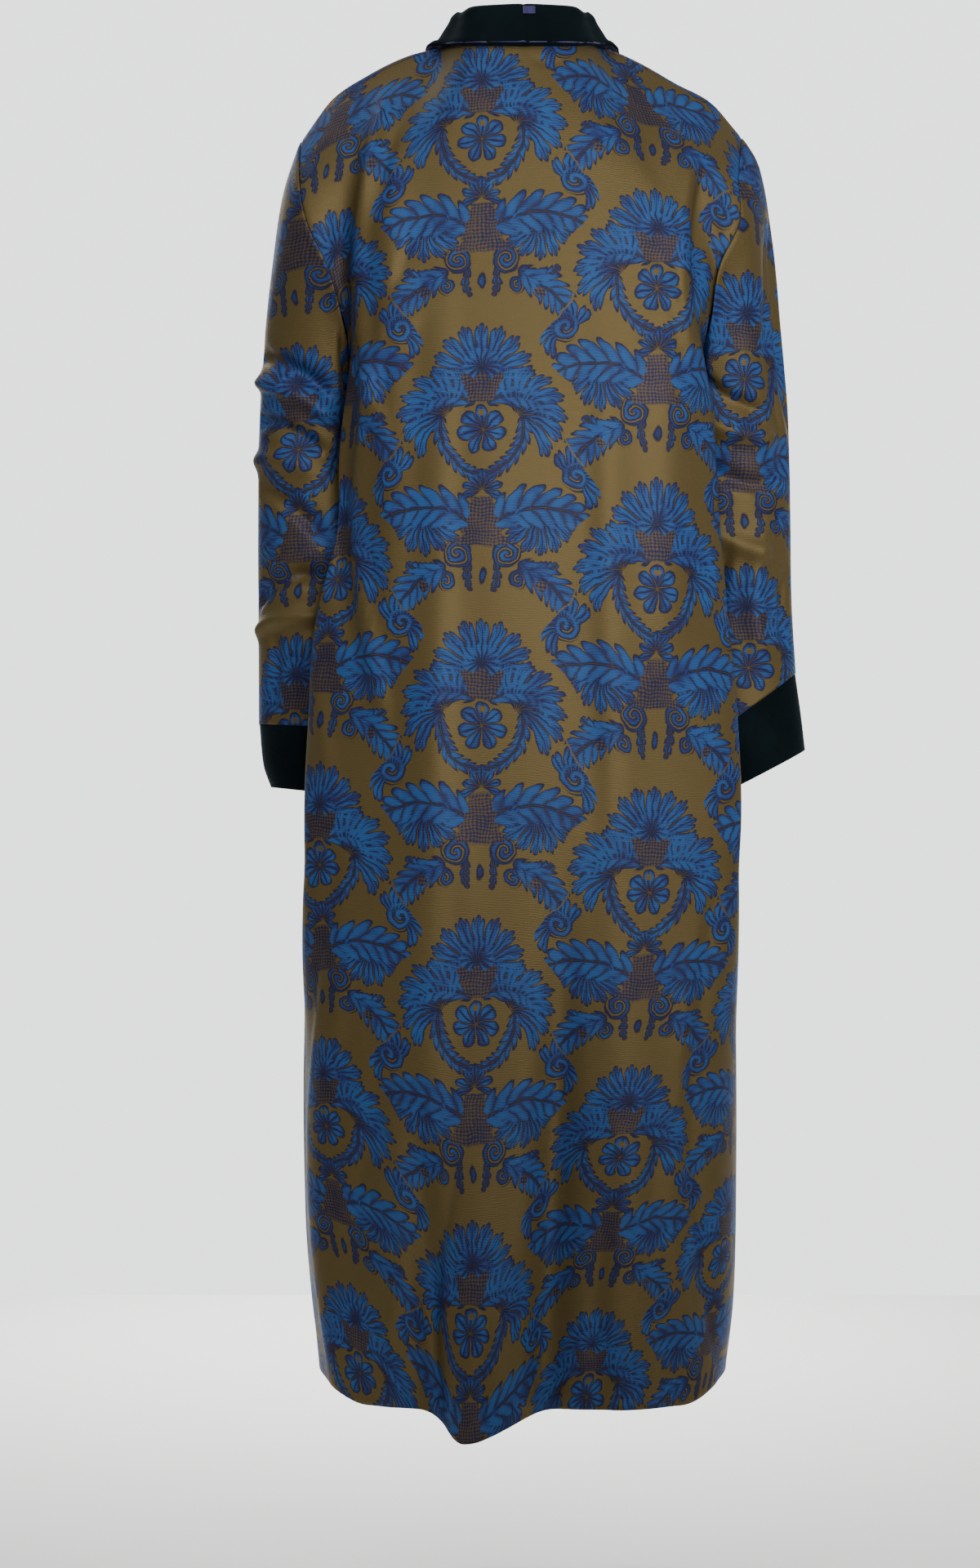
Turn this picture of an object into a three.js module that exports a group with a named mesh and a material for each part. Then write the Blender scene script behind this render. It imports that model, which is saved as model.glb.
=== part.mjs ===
// A long open robe of damask with a velvet shawl collar and velvet cuffs, as worn: hollow, unbelted,
// hanging from the shoulders. Millimetres, +Z up. The origin is the middle of the neck's base, the
// garment's front faces -Y and its wearer's left is +X. Every piece is a wall of cloth: a grid of
// outer points with the same grid moved inwards, closed round its edges.
import * as THREE from 'three';

// Driving sizes.
const WALL = 2.5; // damask with its lining
const VELVET_WALL = 3;
const SEAM_HALF_GAP = 0.17; // each piece stops this far short of its seam
const UNDERARM_HALF_GAP = 0.6; // where the walls twist under the arm
const SLEEVE_GAP = 0.34;
const SEAM_CROWN = 1.3; // how much further the collar stands off where it crosses the shoulder seam
const LAP_CLEARANCE = 1.3; // collar above the panel that it lies on
const HEM_Z = -1414;
const UNDERARM_Z = -340;
const HEM_SIDE_RAISE = 28;
const HEM_TIP = { x: 62, drop: 34, spreadOut: 24, spreadIn: 58 }; // the fold at the back that hangs lowest
const HEM_REACH = 420; // how far above the hem its unevenness dies out
const INNER_SHARE = 0.56; // where the station between the middle and the next one lies
const INNER_FALL = 0.28; // and its share of the fall in depth between them
const NECK_STEPS = 2; // grid steps in each stretch of the back between middle and side of the neck
const SHOULDER_STEPS = 8; // grid steps along one shoulder seam
const ARMHOLE_STEPS = 10; // grid steps of half an armhole, and rows above the underarm
const SKIRT_ROWS = 22; // rows from hem to underarm
const SLEEVE_ROWS = 17;
const CUFF_ROWS = 3;
const COLLAR_LAST_ROW = 18; // grid row of the fronts where the collar runs out
const COLLAR_LAP_STEPS = 3;
const COLLAR_STAND_STEPS = 3;
const NECK_TURN_LENGTH = 50; // collar lap length for one step of `across`, where it turns along the shoulder
const NECK_DROP_LENGTH = 300; // collar lap length for the whole rise of the yoke, behind the neck
const TAB = { x: -6, width: 13, height: 9, thickness: 1.2, standOff: 0.9, seat: 0.45 };
const DIFFERENCE = 0.004; // parameter step of numerical normals

const DAMASK = new THREE.MeshStandardMaterial({ color: 0x5a4a34, roughness: 0.45, metalness: 0.1 });
const VELVET = new THREE.MeshStandardMaterial({ color: 0x08131a, roughness: 0.95, metalness: 0 });
const LINING = new THREE.MeshStandardMaterial({ color: 0x2b2466, roughness: 0.6, metalness: 0 });

const LEFT = 1;
const RIGHT = -1;

function table(columns, rows) {
  const names = columns.split(' ');
  return rows.map((row) => Object.fromEntries(row.map((value, index) => [names[index], value])));
}

// Level sections from hem to underarm. Each names where the cloth lies at the middle of the back, between
// middle and corner, at the back corner (left and right), at the side seam, at the side of the front, at
// the middle of the front panel and at its opening edge. The arms press the sides in between -350 and -850.
const LEVELS = table(
  'z backY midX midY cornerX cornerRX cornerY seamX seamRX seamY hipX hipY foreX foreY edgeX edgeY',
  [
    [-1414, 150, 111, 146, 198, 196, 98, 213, 212, 5, 186, -92, 106, -140, 14, -150],
    [-1340, 149, 112, 144, 205, 202, 97, 222, 219, 5, 190, -91, 106, -138, 14, -147],
    [-1250, 147, 113, 142, 208, 203, 95, 228, 222, 5, 190, -90, 106, -134, 14, -143],
    [-1050, 142, 114, 136, 209, 203, 90, 229, 222, 6, 186, -88, 105, -128, 14, -136],
    [-900, 138, 114, 131, 220, 216, 80, 216, 212, 8, 172, -82, 103, -122, 14, -130],
    [-820, 134, 114, 127, 226, 225, 66, 164, 164, -18, 146, -82, 100, -118, 14, -126],
    [-720, 131, 113, 123, 223, 223, 54, 148, 148, -30, 140, -84, 98, -115, 14, -123],
    [-620, 128, 110, 119, 213, 214, 50, 147, 147, -32, 140, -86, 96, -113, 14, -121],
    [-520, 125, 106, 116, 196, 205, 50, 145, 146, -32, 138, -86, 95, -112, 14, -121],
    [-430, 121, 103, 113, 185, 199, 54, 144, 145, -30, 137, -84, 95, -111, 15, -121],
    [-378, 117, 101, 110, 172, 197, 62, 150, 152, -24, 142, -80, 96, -110, 20, -120],
    [-340, 113, 99, 107, 163, 177, 68, 181, 185, -8, 154, -76, 98, -109, 26, -117],
  ],
);

// The yoke, underarm to shoulder, at quarters of its rise: the same columns, now each with its own height.
const YOKE = table(
  'rise backY backZ innerX innerY innerZ midX midY midZ bladeX bladeRX bladeY bladeZ',
  [
    [0.25, 113, -258, 57, 111, -259, 101, 106, -262, 162, 176, 86, -268],
    [0.5, 109, -178, 60, 107, -180, 105, 100, -186, 172, 176, 80, -205],
    [0.75, 98, -98, 62, 94, -100, 104, 78, -106, 174, 174, 58, -128],
    [1, 72, -18.5, 57, 58, -16, 88, -2, -6, 162, 162, -8, -35],
  ],
);
const CHEST = table(
  'rise hipX hipY hipZ foreX foreY foreZ edgeX edgeY edgeZ',
  [
    [0.25, 166, -86, -262, 103, -104, -262, 36, -110, -250],
    [0.5, 176, -76, -192, 112, -93, -180, 50, -95, -160],
    [0.75, 186, -52, -124, 122, -64, -98, 68, -66, -78],
    [1, 190, -8, -52, 137, -7, -22, 88, -2, -6],
  ],
);
const SHOULDER = {
  [LEFT]: table('x y z', [
    [88, -2, -6], [125, -7, -15.5], [162, -8, -33.5], [202, -8, -60.5], [234, -8, -105],
  ]),
  [RIGHT]: table('x y z', [
    [88, -2, -6], [125, -7, -22], [162, -8, -43], [200, -8, -64], [232, -8, -101],
  ]),
};

// Armholes, ten points each: down the back from the shoulder to the underarm, and up the front.
const ARMHOLE = {
  [LEFT]: table('x y z', [
    [234, -8, -105], [234, 42, -152], [225, 62, -200], [203, 64, -248], [187, 46, -302],
    [181, -8, -340], [184, -50, -305], [195, -74, -255], [212, -76, -205], [228, -50, -145],
  ]),
  [RIGHT]: table('x y z', [
    [232, -8, -101], [225, 44, -152], [225, 62, -200], [204, 65, -246], [195, 50, -300],
    [185, -8, -340], [186, -50, -305], [196, -74, -255], [212, -76, -205], [228, -50, -142],
  ]),
};

// Sleeves: where the outer and the inner side of each ring lie, and half its depth front to back.
const SLEEVE = {
  [LEFT]: table('along outX outY outZ inX inY inZ half', [
    [0, 234, -8, -105, 181, -8, -340, 70],
    [0.1, 252, -12, -160, 178, -20, -370, 64],
    [0.2, 263, -18, -228, 171, -30, -408, 60],
    [0.32, 272, -26, -304, 164, -39, -455, 58],
    [0.48, 279, -36, -405, 157, -48, -520, 57],
    [0.64, 281, -46, -515, 157, -54, -590, 56],
    [0.82, 281, -55, -625, 160, -60, -660, 57],
    [1, 281, -60, -719, 164, -64, -724, 58],
  ]),
  [RIGHT]: table('along outX outY outZ inX inY inZ half', [
    [0, 232, -8, -101, 185, -8, -340, 70],
    [0.08, 250, -10, -134, 182, -18, -366, 64],
    [0.2, 265, -18, -216, 174, -31, -408, 60],
    [0.32, 273, -26, -296, 167, -40, -455, 59],
    [0.48, 282, -36, -390, 160, -48, -522, 57],
    [0.64, 285, -46, -490, 160, -54, -598, 56],
    [0.82, 287, -54, -585, 164, -60, -676, 57],
    [1, 292, -60, -664, 172, -66, -752, 58],
  ]),
};
const CUFF = {
  [LEFT]: table('along outX outY outZ inX inY inZ half', [
    [0, 281, -60, -719, 164, -64, -724, 58],
    [0.6, 277, -62, -762, 166, -66, -770, 58],
    [1, 269, -63, -786, 168, -68, -796, 56],
  ]),
  [RIGHT]: table('along outX outY outZ inX inY inZ half', [
    [0, 292, -60, -664, 172, -66, -752, 58],
    [0.6, 299, -63, -712, 171, -69, -790, 60],
    [1, 303, -64, -746, 171, -70, -814, 60],
  ]),
};

// Largest folds: each a trough (depth below zero) or ridge whose middle runs from x0 at its top z0 to x1
// at its foot z1. It fades in over the length `fade`.
const BACK_FOLDS = table('x0 z0 x1 z1 width depth fade', [
  [166, -120, 168, -640, 17, -13, 130],
  [-176, -120, -182, -360, 14, -7, 80],
  [-44, -790, -22, -1430, 27, -15, 420],
  [110, -1040, 90, -1430, 19, -11, 260],
  [45, -1050, 52, -1430, 30, 9, 300],
  [-120, -860, -118, -1430, 40, 7, 400],
]);
const FRONT_FOLDS = table('x0 z0 x1 z1 width depth fade', [
  [92, -560, 84, -1430, 26, 11, 420],
  [-86, -620, -92, -1430, 28, 10, 420],
  [142, -800, 138, -1430, 20, -8, 300],
  [-140, -760, -136, -1430, 20, -8, 300],
]);

// Collar: how far it laps on to the panels, and the step from the neckline up to its free edge, at
// stations from the middle of the back (0) round the neck and down the front opening (1).
const COLLAR = table('station lap standX standY standZ', [
  [0, 3, 0, -15, 43],
  [0.11, 3, -6, -12, 40],
  [0.17, 4, -14, -4, 34],
  [0.22, 11, -19, 6, 27],
  [0.28, 24, -18, 3, 25],
  [0.36, 42, -15, -3, 17],
  [0.5, 58, -10, -6, 6],
  [0.72, 56, -7, -3, 0],
  [0.9, 28, -6, -2, 0],
  [1, 8, -5, -1, 0],
]);

// Interpolation through keyed rows, smooth, with the slope at each row taken from its neighbours.
function keyed(rows, key, column, at) {
  const last = rows.length - 1;
  let i = 0;
  while (i < last - 1 && at > rows[i + 1][key]) i += 1;
  const slope = (n) => {
    const a = rows[Math.max(n - 1, 0)];
    const b = rows[Math.min(n + 1, last)];
    return (b[column] - a[column]) / (b[key] - a[key]);
  };
  const span = rows[i + 1][key] - rows[i][key];
  const t = THREE.MathUtils.clamp((at - rows[i][key]) / span, 0, 1);
  const t2 = t * t;
  const t3 = t2 * t;
  return (
    (2 * t3 - 3 * t2 + 1) * rows[i][column] +
    (t3 - 2 * t2 + t) * span * slope(i) +
    (3 * t2 - 2 * t3) * rows[i + 1][column] +
    (t3 - t2) * span * slope(i + 1)
  );
}

// Uniform Catmull-Rom point between b and c.
function between(a, b, c, d, t) {
  const t2 = t * t;
  const t3 = t2 * t;
  return new THREE.Vector3()
    .addScaledVector(a, 0.5 * (2 * t2 - t - t3))
    .addScaledVector(b, 0.5 * (2 - 5 * t2 + 3 * t3))
    .addScaledVector(c, 0.5 * (t + 4 * t2 - 3 * t3))
    .addScaledVector(d, 0.5 * (t3 - t2));
}

// A point on a chain of control points, with given neighbours beyond both ends.
function onChain(before, chain, after, at) {
  const i = Math.min(Math.floor(at), chain.length - 2);
  const a = i === 0 ? before : chain[i - 1];
  const d = i + 2 > chain.length - 1 ? after : chain[i + 2];
  return between(a, chain[i], chain[i + 1], d, at - i);
}

const vec = (x, y, z) => new THREE.Vector3(x, y, z);
const beyond = (end, inner) => end.clone().multiplyScalar(2).sub(inner);
const smooth = (low, high, value) => THREE.MathUtils.smoothstep(value, low, high);

// Armhole of one side, `at` from 0 at the shoulder down the back to 10 at the underarm, up to 20.
function armhole(side, at) {
  const points = ARMHOLE[side];
  const count = points.length;
  const place = (at * count) / (2 * ARMHOLE_STEPS);
  const i = Math.floor(place);
  const p = [-1, 0, 1, 2].map((n) => points[(i + n + count) % count]);
  const q = p.map((r) => vec(side * r.x, r.y, r.z));
  return between(q[0], q[1], q[2], q[3], place - i);
}

// Shoulder seam of one side, `t` from 0 at the neck to 1 at the armhole.
function shoulder(side, t) {
  const chain = SHOULDER[side].map((r) => vec(side * r.x, r.y, r.z));
  const last = chain.length - 1;
  return onChain(beyond(chain[0], chain[1]), chain, beyond(chain[last], chain[last - 1]), t * last);
}

// Control points of half the back at one row: middle, inner, mid, corner and edge.
function backStations(side, row) {
  if (row.rise <= 0) {
    const level = (column) => keyed(LEVELS, 'z', column, row.z);
    const backY = level('backY');
    const midX = level('midX');
    const midY = level('midY');
    const cornerX = level(side === LEFT ? 'cornerX' : 'cornerRX');
    const seamX = level(side === LEFT ? 'seamX' : 'seamRX');
    return [
      vec(0, backY, row.z),
      vec(side * INNER_SHARE * midX, backY - INNER_FALL * (backY - midY), row.z),
      vec(side * midX, midY, row.z),
      vec(side * cornerX, level('cornerY'), row.z),
      vec(side * seamX, level('seamY'), row.z),
    ];
  }
  const base = backStations(side, { rise: 0, z: UNDERARM_Z });
  const first = {
    rise: 0,
    backY: base[0].y, backZ: UNDERARM_Z,
    innerX: side * base[1].x, innerY: base[1].y, innerZ: UNDERARM_Z,
    midX: side * base[2].x, midY: base[2].y, midZ: UNDERARM_Z,
    bladeX: side * base[3].x, bladeRX: side * base[3].x, bladeY: base[3].y, bladeZ: UNDERARM_Z,
  };
  const yoke = (column) => keyed([first, ...YOKE], 'rise', column, row.rise);
  return [
    vec(0, yoke('backY'), yoke('backZ')),
    vec(side * yoke('innerX'), yoke('innerY'), yoke('innerZ')),
    vec(side * yoke('midX'), yoke('midY'), yoke('midZ')),
    vec(side * yoke(side === LEFT ? 'bladeX' : 'bladeRX'), yoke('bladeY'), yoke('bladeZ')),
    armhole(side, ARMHOLE_STEPS * (1 - row.rise)),
  ];
}

// Control points of one front at one row: opening edge, fore, hip and side edge.
function frontStations(side, row) {
  if (row.rise <= 0) {
    const level = (column) => keyed(LEVELS, 'z', column, row.z);
    const seamX = level(side === LEFT ? 'seamX' : 'seamRX');
    return [
      vec(side * level('edgeX'), level('edgeY'), row.z),
      vec(side * level('foreX'), level('foreY'), row.z),
      vec(side * level('hipX'), level('hipY'), row.z),
      vec(side * seamX, level('seamY'), row.z),
    ];
  }
  const base = frontStations(side, { rise: 0, z: UNDERARM_Z });
  const first = {
    rise: 0,
    edgeX: side * base[0].x, edgeY: base[0].y, edgeZ: UNDERARM_Z,
    foreX: side * base[1].x, foreY: base[1].y, foreZ: UNDERARM_Z,
    hipX: side * base[2].x, hipY: base[2].y, hipZ: UNDERARM_Z,
  };
  const chest = (column) => keyed([first, ...CHEST], 'rise', column, row.rise);
  return [
    vec(side * chest('edgeX'), chest('edgeY'), chest('edgeZ')),
    vec(side * chest('foreX'), chest('foreY'), chest('foreZ')),
    vec(side * chest('hipX'), chest('hipY'), chest('hipZ')),
    armhole(side, ARMHOLE_STEPS * (1 + row.rise)),
  ];
}

function foldDepth(folds, x, z) {
  let depth = 0;
  for (const fold of folds) {
    const t = (z - fold.z0) / (fold.z1 - fold.z0);
    const middle = fold.x0 + (fold.x1 - fold.x0) * THREE.MathUtils.clamp(t, 0, 1);
    const start = smooth(0, fold.fade, fold.z0 - z);
    const end = fold.z1 < HEM_Z ? 1 : smooth(0, fold.fade, z - fold.z1);
    depth += fold.depth * start * end * Math.exp(-(((x - middle) / fold.width) ** 2));
  }
  return depth;
}

// Folds and the uneven hem, laid over a smooth point of the body. Both fade out towards the side seams.
function draped(p) {
  const behind = smooth(20, 75, p.y);
  const before = smooth(40, 90, -p.y);
  const hanging = 1 - smooth(HEM_Z, HEM_Z + HEM_REACH, p.z);
  const spread = p.x > HEM_TIP.x ? HEM_TIP.spreadOut : HEM_TIP.spreadIn;
  const tip = HEM_TIP.drop * behind * Math.exp(-(((p.x - HEM_TIP.x) / spread) ** 2));
  const raise = HEM_SIDE_RAISE * smooth(160, 226, Math.abs(p.x));
  const y = p.y + behind * foldDepth(BACK_FOLDS, p.x, p.z) - before * foldDepth(FRONT_FOLDS, p.x, p.z);
  return vec(p.x, y, p.z + hanging * (raise - tip));
}

const ROWS = [];
for (let i = 0; i <= SKIRT_ROWS; i += 1) {
  ROWS.push({ rise: 0, z: HEM_Z + ((UNDERARM_Z - HEM_Z) * i) / SKIRT_ROWS });
}
for (let i = 1; i <= ARMHOLE_STEPS; i += 1) {
  ROWS.push({ rise: i / ARMHOLE_STEPS, z: UNDERARM_Z });
}

// A point of the back: `across` runs 0 at the middle to 4 at the edge of one side.
function backPoint(side, row, across) {
  const own = backStations(side, row);
  const other = backStations(-side, row);
  const front = frontStations(side, row);
  const crease = row.rise ** 3;
  const after = front[2].clone().lerp(beyond(own[4], own[3]), smooth(0, 0.25, row.rise));
  const neck = [other[1], own[0], own[1], own[2], own[3].clone().lerp(beyond(own[2], own[1]), crease)];
  const outer = [own[1].clone().lerp(beyond(own[2], own[3]), crease), own[2], own[3], own[4], after];
  let p;
  if (across <= 2) {
    const i = across < 1 ? 0 : 1;
    p = between(neck[i], neck[i + 1], neck[i + 2], neck[i + 3], across - i);
  } else {
    const i = across < 3 ? 0 : 1;
    p = between(outer[i], outer[i + 1], outer[i + 2], outer[i + 3], across - 2 - i);
    if (row.rise > 0) {
      const top = topMiss(side, across);
      p.addScaledVector(top, row.rise ** 4);
    }
  }
  return draped(p);
}

// How far the back's top row lies off the shoulder seam between its control points.
function topMiss(side, across) {
  const own = backStations(side, { rise: 1, z: UNDERARM_Z });
  const before = beyond(own[2], own[3]);
  const after = beyond(own[4], own[3]);
  const p = onChain(before, [own[2], own[3], own[4]], after, across - 2);
  return shoulder(side, (across - 2) / 2).sub(p);
}

// A point of one front: `across` runs 0 at the opening edge to 1 at the side.
function frontPoint(side, row, across) {
  const own = frontStations(side, row);
  const back = backStations(side, row);
  const after = back[3].clone().lerp(beyond(own[3], own[2]), smooth(0, 0.25, row.rise));
  const p = onChain(beyond(own[0], own[1]), own, after, across * 3);
  if (row.rise > 0) {
    const top = frontStations(side, { rise: 1, z: UNDERARM_Z });
    const at = onChain(beyond(top[0], top[1]), top, beyond(top[3], top[2]), across * 3);
    p.addScaledVector(shoulder(side, across).sub(at), row.rise ** 4);
  }
  return draped(p);
}

// Sleeve or cuff ring: an oval between its outer and inner side. `turn` 0 is outside, half is inside.
function ringPoint(side, rows, along, turn) {
  const value = (column) => keyed(rows, 'along', column, along);
  const out = vec(side * value('outX'), value('outY'), value('outZ'));
  const inside = vec(side * value('inX'), value('inY'), value('inZ'));
  const angle = turn * 2 * Math.PI;
  return out.clone().add(inside).multiplyScalar(0.5)
    .addScaledVector(out.clone().sub(inside), 0.5 * Math.cos(angle))
    .add(vec(0, value('half') * Math.sin(angle), 0));
}

function sleevePoint(side, along, step) {
  const turn = step / (2 * ARMHOLE_STEPS);
  const p = ringPoint(side, SLEEVE[side], along, turn);
  const miss = armhole(side, step).sub(ringPoint(side, SLEEVE[side], 0, turn));
  return p.addScaledVector(miss, (1 - smooth(0, 0.42, along)) ** 1.5);
}

// Outward normals of a grid from its neighbours' differences.
function gridNormals(grid, around, sign) {
  const rows = grid.length;
  const columns = grid[0].length;
  return grid.map((line, i) => line.map((p, j) => {
    const up = grid[Math.min(i + 1, rows - 1)][j].clone().sub(grid[Math.max(i - 1, 0)][j]);
    const right = around ? (j + 1) % columns : Math.min(j + 1, columns - 1);
    const left = around ? (j + columns - 1) % columns : Math.max(j - 1, 0);
    const side = line[right].clone().sub(line[left]);
    return up.cross(side).normalize().multiplyScalar(sign);
  }));
}

// The closed wall between an outer and an inner grid.
function wall(outer, inner, around) {
  const rows = outer.length;
  const columns = outer[0].length;
  const positions = [];
  for (const grid of [outer, inner]) {
    for (const line of grid) {
      for (const p of line) positions.push(p.x, p.y, p.z);
    }
  }
  const shift = rows * columns;
  const index = [];
  const quad = (a, b, c, d) => index.push(a, b, c, a, c, d);
  const spans = around ? columns : columns - 1;
  for (let i = 0; i < rows - 1; i += 1) {
    for (let j = 0; j < spans; j += 1) {
      const a = i * columns + j;
      const b = i * columns + ((j + 1) % columns);
      quad(a, b, b + columns, a + columns);
      quad(a + shift, a + columns + shift, b + columns + shift, b + shift);
    }
  }
  for (let j = 0; j < spans; j += 1) {
    const a = j;
    const b = (j + 1) % columns;
    const top = (rows - 1) * columns;
    quad(b, a, a + shift, b + shift);
    quad(top + a, top + b, top + b + shift, top + a + shift);
  }
  if (!around) {
    for (let i = 0; i < rows - 1; i += 1) {
      const a = i * columns;
      const b = a + columns - 1;
      quad(a, a + columns, a + columns + shift, a + shift);
      quad(b + columns, b, b + shift, b + columns + shift);
    }
  }
  const geometry = new THREE.BufferGeometry();
  geometry.setAttribute('position', new THREE.Float32BufferAttribute(positions, 3));
  geometry.setIndex(volume(positions, index) > 0 ? index : flipped(index));
  geometry.computeVertexNormals();
  return geometry;
}

function volume(positions, index) {
  const at = (n) => vec(positions[3 * n], positions[3 * n + 1], positions[3 * n + 2]);
  let sum = 0;
  for (let i = 0; i < index.length; i += 3) {
    sum += at(index[i]).dot(at(index[i + 1]).cross(at(index[i + 2])));
  }
  return sum;
}

function flipped(index) {
  const out = [];
  for (let i = 0; i < index.length; i += 3) out.push(index[i], index[i + 2], index[i + 1]);
  return out;
}

// Moves an edge point and its inner mate back from a seam, towards the next point of the grid.
function drawBack(outer, inner, edge, next, distance) {
  const pull = outer[next[0]][next[1]].clone().sub(outer[edge[0]][edge[1]]).setLength(distance);
  outer[edge[0]][edge[1]].add(pull);
  inner[edge[0]][edge[1]].add(pull);
}

function sideGap(rowIndex) {
  return Math.abs(rowIndex - SKIRT_ROWS) <= 1 ? UNDERARM_HALF_GAP : SEAM_HALF_GAP;
}

// Direction across the armhole at a seam point, which both walls share there.
function armholeInward(side, step) {
  const here = armhole(side, step);
  const steps = 2 * ARMHOLE_STEPS;
  const after = armhole(side, (step + 0.5) % steps);
  const along = after.sub(armhole(side, (step + steps - 0.5) % steps)).normalize();
  const middle = vec(0, 0, 0);
  for (const p of ARMHOLE[side]) middle.add(vec(side * p.x, p.y, p.z));
  const inward = middle.divideScalar(ARMHOLE[side].length).sub(here);
  return inward.addScaledVector(along, -inward.dot(along)).normalize();
}

// Outward direction at the side seam, level, square to the line from back corner to hip.
function seamOutward(side, row) {
  const along = frontStations(side, row)[2].clone().sub(backStations(side, row)[3]);
  return vec(-side * along.y, side * along.x, 0).normalize();
}

function shoulderUp(side) {
  return vec(side * 0.45, 0, 0.9).normalize();
}

function insideOf(outer, normals, thickness) {
  return outer.map((line, i) => line.map((p, j) => p.clone().addScaledVector(normals[i][j], -thickness)));
}

function back() {
  const half = 2 * NECK_STEPS + SHOULDER_STEPS;
  const acrossAt = (step) =>
    step <= 2 * NECK_STEPS ? step / NECK_STEPS : 2 + (2 * (step - 2 * NECK_STEPS)) / SHOULDER_STEPS;
  const outer = ROWS.map((row) => {
    const line = [];
    for (let step = -half; step <= half; step += 1) {
      line.push(backPoint(step < 0 ? LEFT : RIGHT, row, acrossAt(Math.abs(step))));
    }
    return line;
  });
  const normals = gridNormals(outer, false, -1);
  const inner = insideOf(outer, normals, WALL);
  const top = ROWS.length - 1;
  const last = 2 * half;
  for (let j = 0; j <= last; j += 1) {
    const side = j < half ? LEFT : RIGHT;
    if (Math.abs(j - half) >= 2 * NECK_STEPS) {
      inner[top][j] = outer[top][j].clone().addScaledVector(shoulderUp(side), -WALL);
    }
  }
  for (let i = 0; i < SKIRT_ROWS; i += 1) {
    inner[i][0] = outer[i][0].clone().addScaledVector(seamOutward(LEFT, ROWS[i]), -WALL);
    inner[i][last] = outer[i][last].clone().addScaledVector(seamOutward(RIGHT, ROWS[i]), -WALL);
  }
  for (let i = SKIRT_ROWS; i <= top; i += 1) {
    const step = ARMHOLE_STEPS - (i - SKIRT_ROWS);
    inner[i][0] = outer[i][0].clone().addScaledVector(armholeInward(LEFT, step), WALL);
    inner[i][last] = outer[i][last].clone().addScaledVector(armholeInward(RIGHT, step), WALL);
  }
  for (let i = 0; i <= top; i += 1) {
    drawBack(outer, inner, [i, 0], [i, 1], sideGap(i));
    drawBack(outer, inner, [i, last], [i, last - 1], sideGap(i));
  }
  for (let j = 0; j <= last; j += 1) drawBack(outer, inner, [top, j], [top - 1, j], SEAM_HALF_GAP);
  return wall(outer, inner, false);
}

function front(side) {
  const outer = ROWS.map((row) => {
    const line = [];
    for (let step = 0; step <= SHOULDER_STEPS; step += 1) {
      line.push(frontPoint(side, row, step / SHOULDER_STEPS));
    }
    return line;
  });
  const normals = gridNormals(outer, false, -side);
  const inner = insideOf(outer, normals, WALL);
  const top = ROWS.length - 1;
  for (let j = 0; j <= SHOULDER_STEPS; j += 1) {
    inner[top][j] = outer[top][j].clone().addScaledVector(shoulderUp(side), -WALL);
  }
  const edge = (i) => outer[i][SHOULDER_STEPS].clone();
  for (let i = 0; i < SKIRT_ROWS; i += 1) {
    inner[i][SHOULDER_STEPS] = edge(i).addScaledVector(seamOutward(side, ROWS[i]), -WALL);
  }
  for (let i = SKIRT_ROWS; i <= top; i += 1) {
    const step = (ARMHOLE_STEPS + (i - SKIRT_ROWS)) % (2 * ARMHOLE_STEPS);
    inner[i][SHOULDER_STEPS] = edge(i).addScaledVector(armholeInward(side, step), WALL);
  }
  for (let i = 0; i <= top; i += 1) {
    drawBack(outer, inner, [i, SHOULDER_STEPS], [i, SHOULDER_STEPS - 1], sideGap(i));
  }
  for (let j = 0; j <= SHOULDER_STEPS; j += 1) {
    drawBack(outer, inner, [top, j], [top - 1, j], SEAM_HALF_GAP);
  }
  return wall(outer, inner, false);
}

function sleeve(side) {
  const outer = [];
  for (let i = 0; i <= SLEEVE_ROWS; i += 1) {
    const line = [];
    for (let step = 0; step < 2 * ARMHOLE_STEPS; step += 1) {
      line.push(sleevePoint(side, i / SLEEVE_ROWS, step));
    }
    outer.push(line);
  }
  const inner = insideOf(outer, gridNormals(outer, true, side), WALL);
  for (let step = 0; step < 2 * ARMHOLE_STEPS; step += 1) {
    inner[0][step] = outer[0][step].clone().addScaledVector(armholeInward(side, step), WALL);
    const clear = vec(side * SLEEVE_GAP, 0, 0);
    outer[0][step].add(clear);
    inner[0][step].add(clear);
    drawBack(outer, inner, [SLEEVE_ROWS, step], [SLEEVE_ROWS - 1, step], 2 * SEAM_HALF_GAP);
  }
  return wall(outer, inner, true);
}

function cuff(side) {
  const outer = [];
  for (let i = 0; i <= CUFF_ROWS; i += 1) {
    const line = [];
    for (let step = 0; step < 2 * ARMHOLE_STEPS; step += 1) {
      line.push(ringPoint(side, CUFF[side], i / CUFF_ROWS, step / (2 * ARMHOLE_STEPS)));
    }
    outer.push(line);
  }
  return wall(outer, insideOf(outer, gridNormals(outer, true, side), VELVET_WALL), true);
}

// One crosswise line of the collar at a station of one side: over the panel, then up to its free edge.
function collarLine(side, station, lapPoint, lapNormal) {
  const value = (column) => keyed(COLLAR, 'station', column, station);
  const lift = VELVET_WALL + LAP_CLEARANCE;
  const line = [];
  for (let q = 0; q <= COLLAR_LAP_STEPS; q += 1) {
    const distance = value('lap') * (1 - q / COLLAR_LAP_STEPS);
    line.push(lapPoint(distance).addScaledVector(lapNormal(distance), lift));
  }
  const roll = line[COLLAR_LAP_STEPS];
  const stand = vec(side * value('standX'), value('standY'), value('standZ'));
  for (let q = 1; q <= COLLAR_STAND_STEPS; q += 1) {
    line.push(roll.clone().addScaledVector(stand, q / COLLAR_STAND_STEPS));
  }
  return line;
}

// Outward normal of a surface function of two parameters.
function surfaceNormal(at, a, b, sign) {
  const da = at(a + DIFFERENCE, b).sub(at(a - DIFFERENCE, b));
  const db = at(a, b + DIFFERENCE).sub(at(a, b - DIFFERENCE));
  return da.cross(db).normalize().multiplyScalar(sign);
}

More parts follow.
